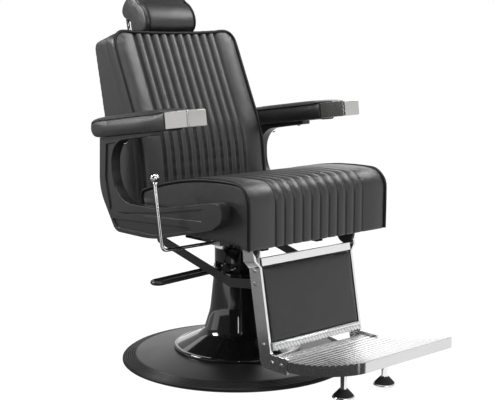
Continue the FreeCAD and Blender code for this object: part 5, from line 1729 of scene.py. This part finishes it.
@dataclass
class Lever:
    """The recline lever: a bent plated rod with a ball knob, and its bracket."""

    axis: Flat = (-0.094, 0.389)
    inner: float = 0.1206
    out: float = 0.355
    height: float = 0.200
    lean: float = 9.0
    bend: float = 0.014
    radius: float = 0.0050
    ball: float = 0.0125
    sunk: float = 0.004

    def knob_profile(self) -> List[Flat]:
        """The ball's section with a short collar below it.

        Returns:
            Radius and height in order round the section.
        """
        collar = [(0.0050, -0.0172), (0.0064, -0.0170), (0.0068, -0.0160), (0.0068, -0.0130),
                  (0.0060, -0.0118)]
        angles = [math.radians(-58 + 148 * step / 20) for step in range(20)]
        round_part = [(self.ball * math.cos(a), self.ball * math.sin(a)) for a in angles]
        return collar + round_part + [(0.0004, self.ball)]

    def build(self, palette: Palette) -> None:
        """Makes the rod, the knob and the bracket.

        Args:
            palette: the finishes.
        """
        stand = Matrix.Translation((0.0, *self.axis)) @ Matrix.Rotation(-math.radians(self.lean), 4, "X")
        line = rounded_line([(-self.inner, 0.0, 0.0), (-self.out, 0.0, self.bend),
                             (-self.out, self.height - self.ball + self.sunk, 0.0)], 12)
        points = [tuple(stand @ Vector((x, 0.0, z))) for x, z in line]
        rod = welt("lever_rod_round", points, self.radius, False, 8)
        fit(rod, "lever", "chrome", palette, None, ("lever_rod",))
        knob = spun("lever_knob_ball", self.knob_profile(), 40)
        knob.data.transform(stand @ Matrix.Translation((-self.out, 0.0, self.height)))
        fit(knob, "lever", "chrome", palette, None, ("lever_knob",))
        dress("lever_bracket", 0.0020, "seat", "chrome", palette)


# Studio


@dataclass(frozen=True)
class Aimed:
    """A rectangle that faces a point, with its width and height in metres and its strength."""

    name: str
    place: Point
    target: Point
    size: Flat
    strength: float

    def turn(self, axis: str) -> Euler:
        """The rotation that points an axis at the target."""
        return (Vector(self.target) - Vector(self.place)).to_track_quat(axis, "Y").to_euler()


class Lamp(Aimed):
    """A soft lamp, whose strength is in watts."""

    def hang(self) -> None:
        """Adds the lamp to the scene."""
        data = bpy.data.lights.new(self.name, "AREA")
        data.shape = "RECTANGLE"
        data.size, data.size_y = self.size
        data.energy = self.strength
        lamp = bpy.data.objects.new(self.name, data)
        lamp.location = self.place
        lamp.rotation_euler = self.turn("-Z")
        bpy.context.scene.collection.objects.link(lamp)


class Card(Aimed):
    """A card for gloss and metal to reflect, out of the camera's sight; its strength is its tone."""

    def stand(self) -> None:
        """Adds the card to the scene."""
        deselect_all()
        bpy.ops.mesh.primitive_plane_add(size=1.0, location=self.place)
        card = bpy.context.object
        card.name = self.name
        card.scale = (*self.size, 1.0)
        card.rotation_euler = self.turn("Z")
        card.visible_camera = False
        card.visible_shadow = False
        card.visible_diffuse = False
        c = Canvas(self.name)
        plain = c.node("ShaderNodeEmission", {}, {"Color": WHITE, "Strength": self.strength})
        c.node("ShaderNodeOutputMaterial", {}, {"Surface": plain})
        card.data.materials.append(c.owner)


@dataclass
class Studio:
    """The camera of the photograph, soft lamps, reflection cards and a plain white floor."""

    eye: Point = (-2.1528, -2.4554, 0.9807)
    azimuth: float = 41.77
    pitch: float = 8.67
    lens: float = 80.22
    sensor: float = 36.0
    floor_span: float = 40.0
    floor_grey: float = 0.86
    floor_glow: float = 1.08
    floor_share: float = 0.93
    ambient: float = 0.17
    lamps: Tuple[Lamp, ...] = (
        Lamp("top", (-0.3, -0.3, 2.8), (0.0, -0.1, 0.4), (2.0, 1.6), 56.0),
        Lamp("left", (-2.0, 1.7, 1.90), (0.0, 0.0, 0.7), (0.9, 0.7), 66.0),
        Lamp("front", (-1.2, -3.1, 2.0), (0.0, -0.2, 0.5), (0.8, 0.8), 36.0),
        Lamp("right", (1.68, -0.55, 2.33), (0.0, -0.32, 0.58), (1.5, 0.8), 37.0),
        Lamp("rear", (2.30, 1.20, 1.75), (0.0, -0.30, 0.58), (1.6, 1.2), 8.0),
        Lamp("low_right", (1.90, -2.05, 1.95), (0.0, -0.30, 0.55), (1.5, 0.7), 4.0),
        Lamp("strip", (-1.86, -2.32, 1.15), (0.0, 0.0, 0.3), (0.10, 0.9), 3.0),
    )
    cards: Tuple[Card, ...] = (
        Card("front_card", (-2.88, -2.62, 1.2), (0.0, 0.0, 1.2), (4.2, 3.0), 0.03),
        Card("right_card", (2.22, -2.30, 2.30), (0.0, 0.0, 2.30), (3.6, 1.8), 0.03),
        Card("ceiling_card", (0.0, 0.0, 3.3), (0.0, 0.0, 0.0), (9.0, 9.0), 0.03),
        Card("floor_card_front", (-1.575, -1.975, 0.003), (-1.575, -1.975, 2.0), (2.65, 2.45), 0.08),
        Card("floor_card_left", (-1.475, 1.075, 0.004), (-1.475, 1.075, 2.0), (3.45, 3.05), 0.20),
        # A dark sheet round the near side of the base, standing in for the floor's shade there in
        # reflections: painted shade.
        Card("floor_shade_card_near", (-0.425, -0.35, 0.006), (-0.425, -0.35, 2.0), (0.55, 0.90), 0.045),
        Card("left_wall", (-2.6, 3.0, 2.1), (0.0, 0.0, 2.1), (4.5, 2.2), 0.15),
        Card("back_card", (-0.55, 4.2, 1.2), (-0.55, 0.0, 1.2), (4.5, 2.4), 0.34),
        Card("side_card", (-4.0, 0.35, 1.9), (0.0, 0.35, 1.9), (3.4, 2.6), 0.10),
    )

    def build(self) -> None:
        """Makes the camera, lamps, cards, floor and world."""
        scene = bpy.context.scene
        scene.view_settings.view_transform = "Standard"
        lens = bpy.data.cameras.new("camera")
        lens.lens = self.lens
        lens.sensor_width = self.sensor
        camera = bpy.data.objects.new("camera", lens)
        camera.location = self.eye
        camera.rotation_euler = Euler((math.radians(90 - self.pitch), 0, -math.radians(self.azimuth)))
        scene.collection.objects.link(camera)
        scene.camera = camera
        for lamp in self.lamps:
            lamp.hang()
        for card in self.cards:
            card.stand()
        self.floor()
        self.sky()

    def floor(self) -> None:
        """Adds the white floor, which keeps a faint shadow."""
        deselect_all()
        bpy.ops.mesh.primitive_plane_add(size=self.floor_span, location=(0, 0, 0))
        plane = bpy.context.object
        plane.name = "floor"
        c = Canvas("studio_floor")
        matte = c.node("ShaderNodeBsdfDiffuse", {}, {"Color": (*(self.floor_grey,) * 3, 1.0)})
        bright = c.node("ShaderNodeEmission", {}, {"Color": WHITE, "Strength": self.floor_glow})
        mixed = c.node("ShaderNodeMixShader", {}, {0: c.seen() * self.floor_share, 1: matte, 2: bright})
        c.node("ShaderNodeOutputMaterial", {}, {"Surface": mixed})
        plane.data.materials.append(c.owner)

    def sky(self) -> None:
        """Adds a white surround for the camera and a softer one for the light it gives."""
        c = Canvas("studio", world=True)
        bpy.context.scene.world = c.owner
        soft = c.node("ShaderNodeBackground", {}, {"Color": WHITE, "Strength": self.ambient})
        white = c.node("ShaderNodeBackground", {}, {"Color": WHITE, "Strength": 1.0})
        mixed = c.node("ShaderNodeMixShader", {}, {0: c.seen(), 1: soft, 2: white})
        c.node("ShaderNodeOutputWorld", {}, {"Surface": mixed})


def main() -> None:
    """Builds the studio and dresses the chair, sub-assembly by sub-assembly."""
    Studio().build()
    palette = Palette()
    palette.coat_frame()
    for part in (Base(), Pedal(), Seat(), Backrest(), Headrest(), ArmRests(), Lever(), Footrest()):
        part.build(palette)
        log.info("%s done", type(part).__name__)
    deselect_all()


if __name__ == "__main__":
    main()
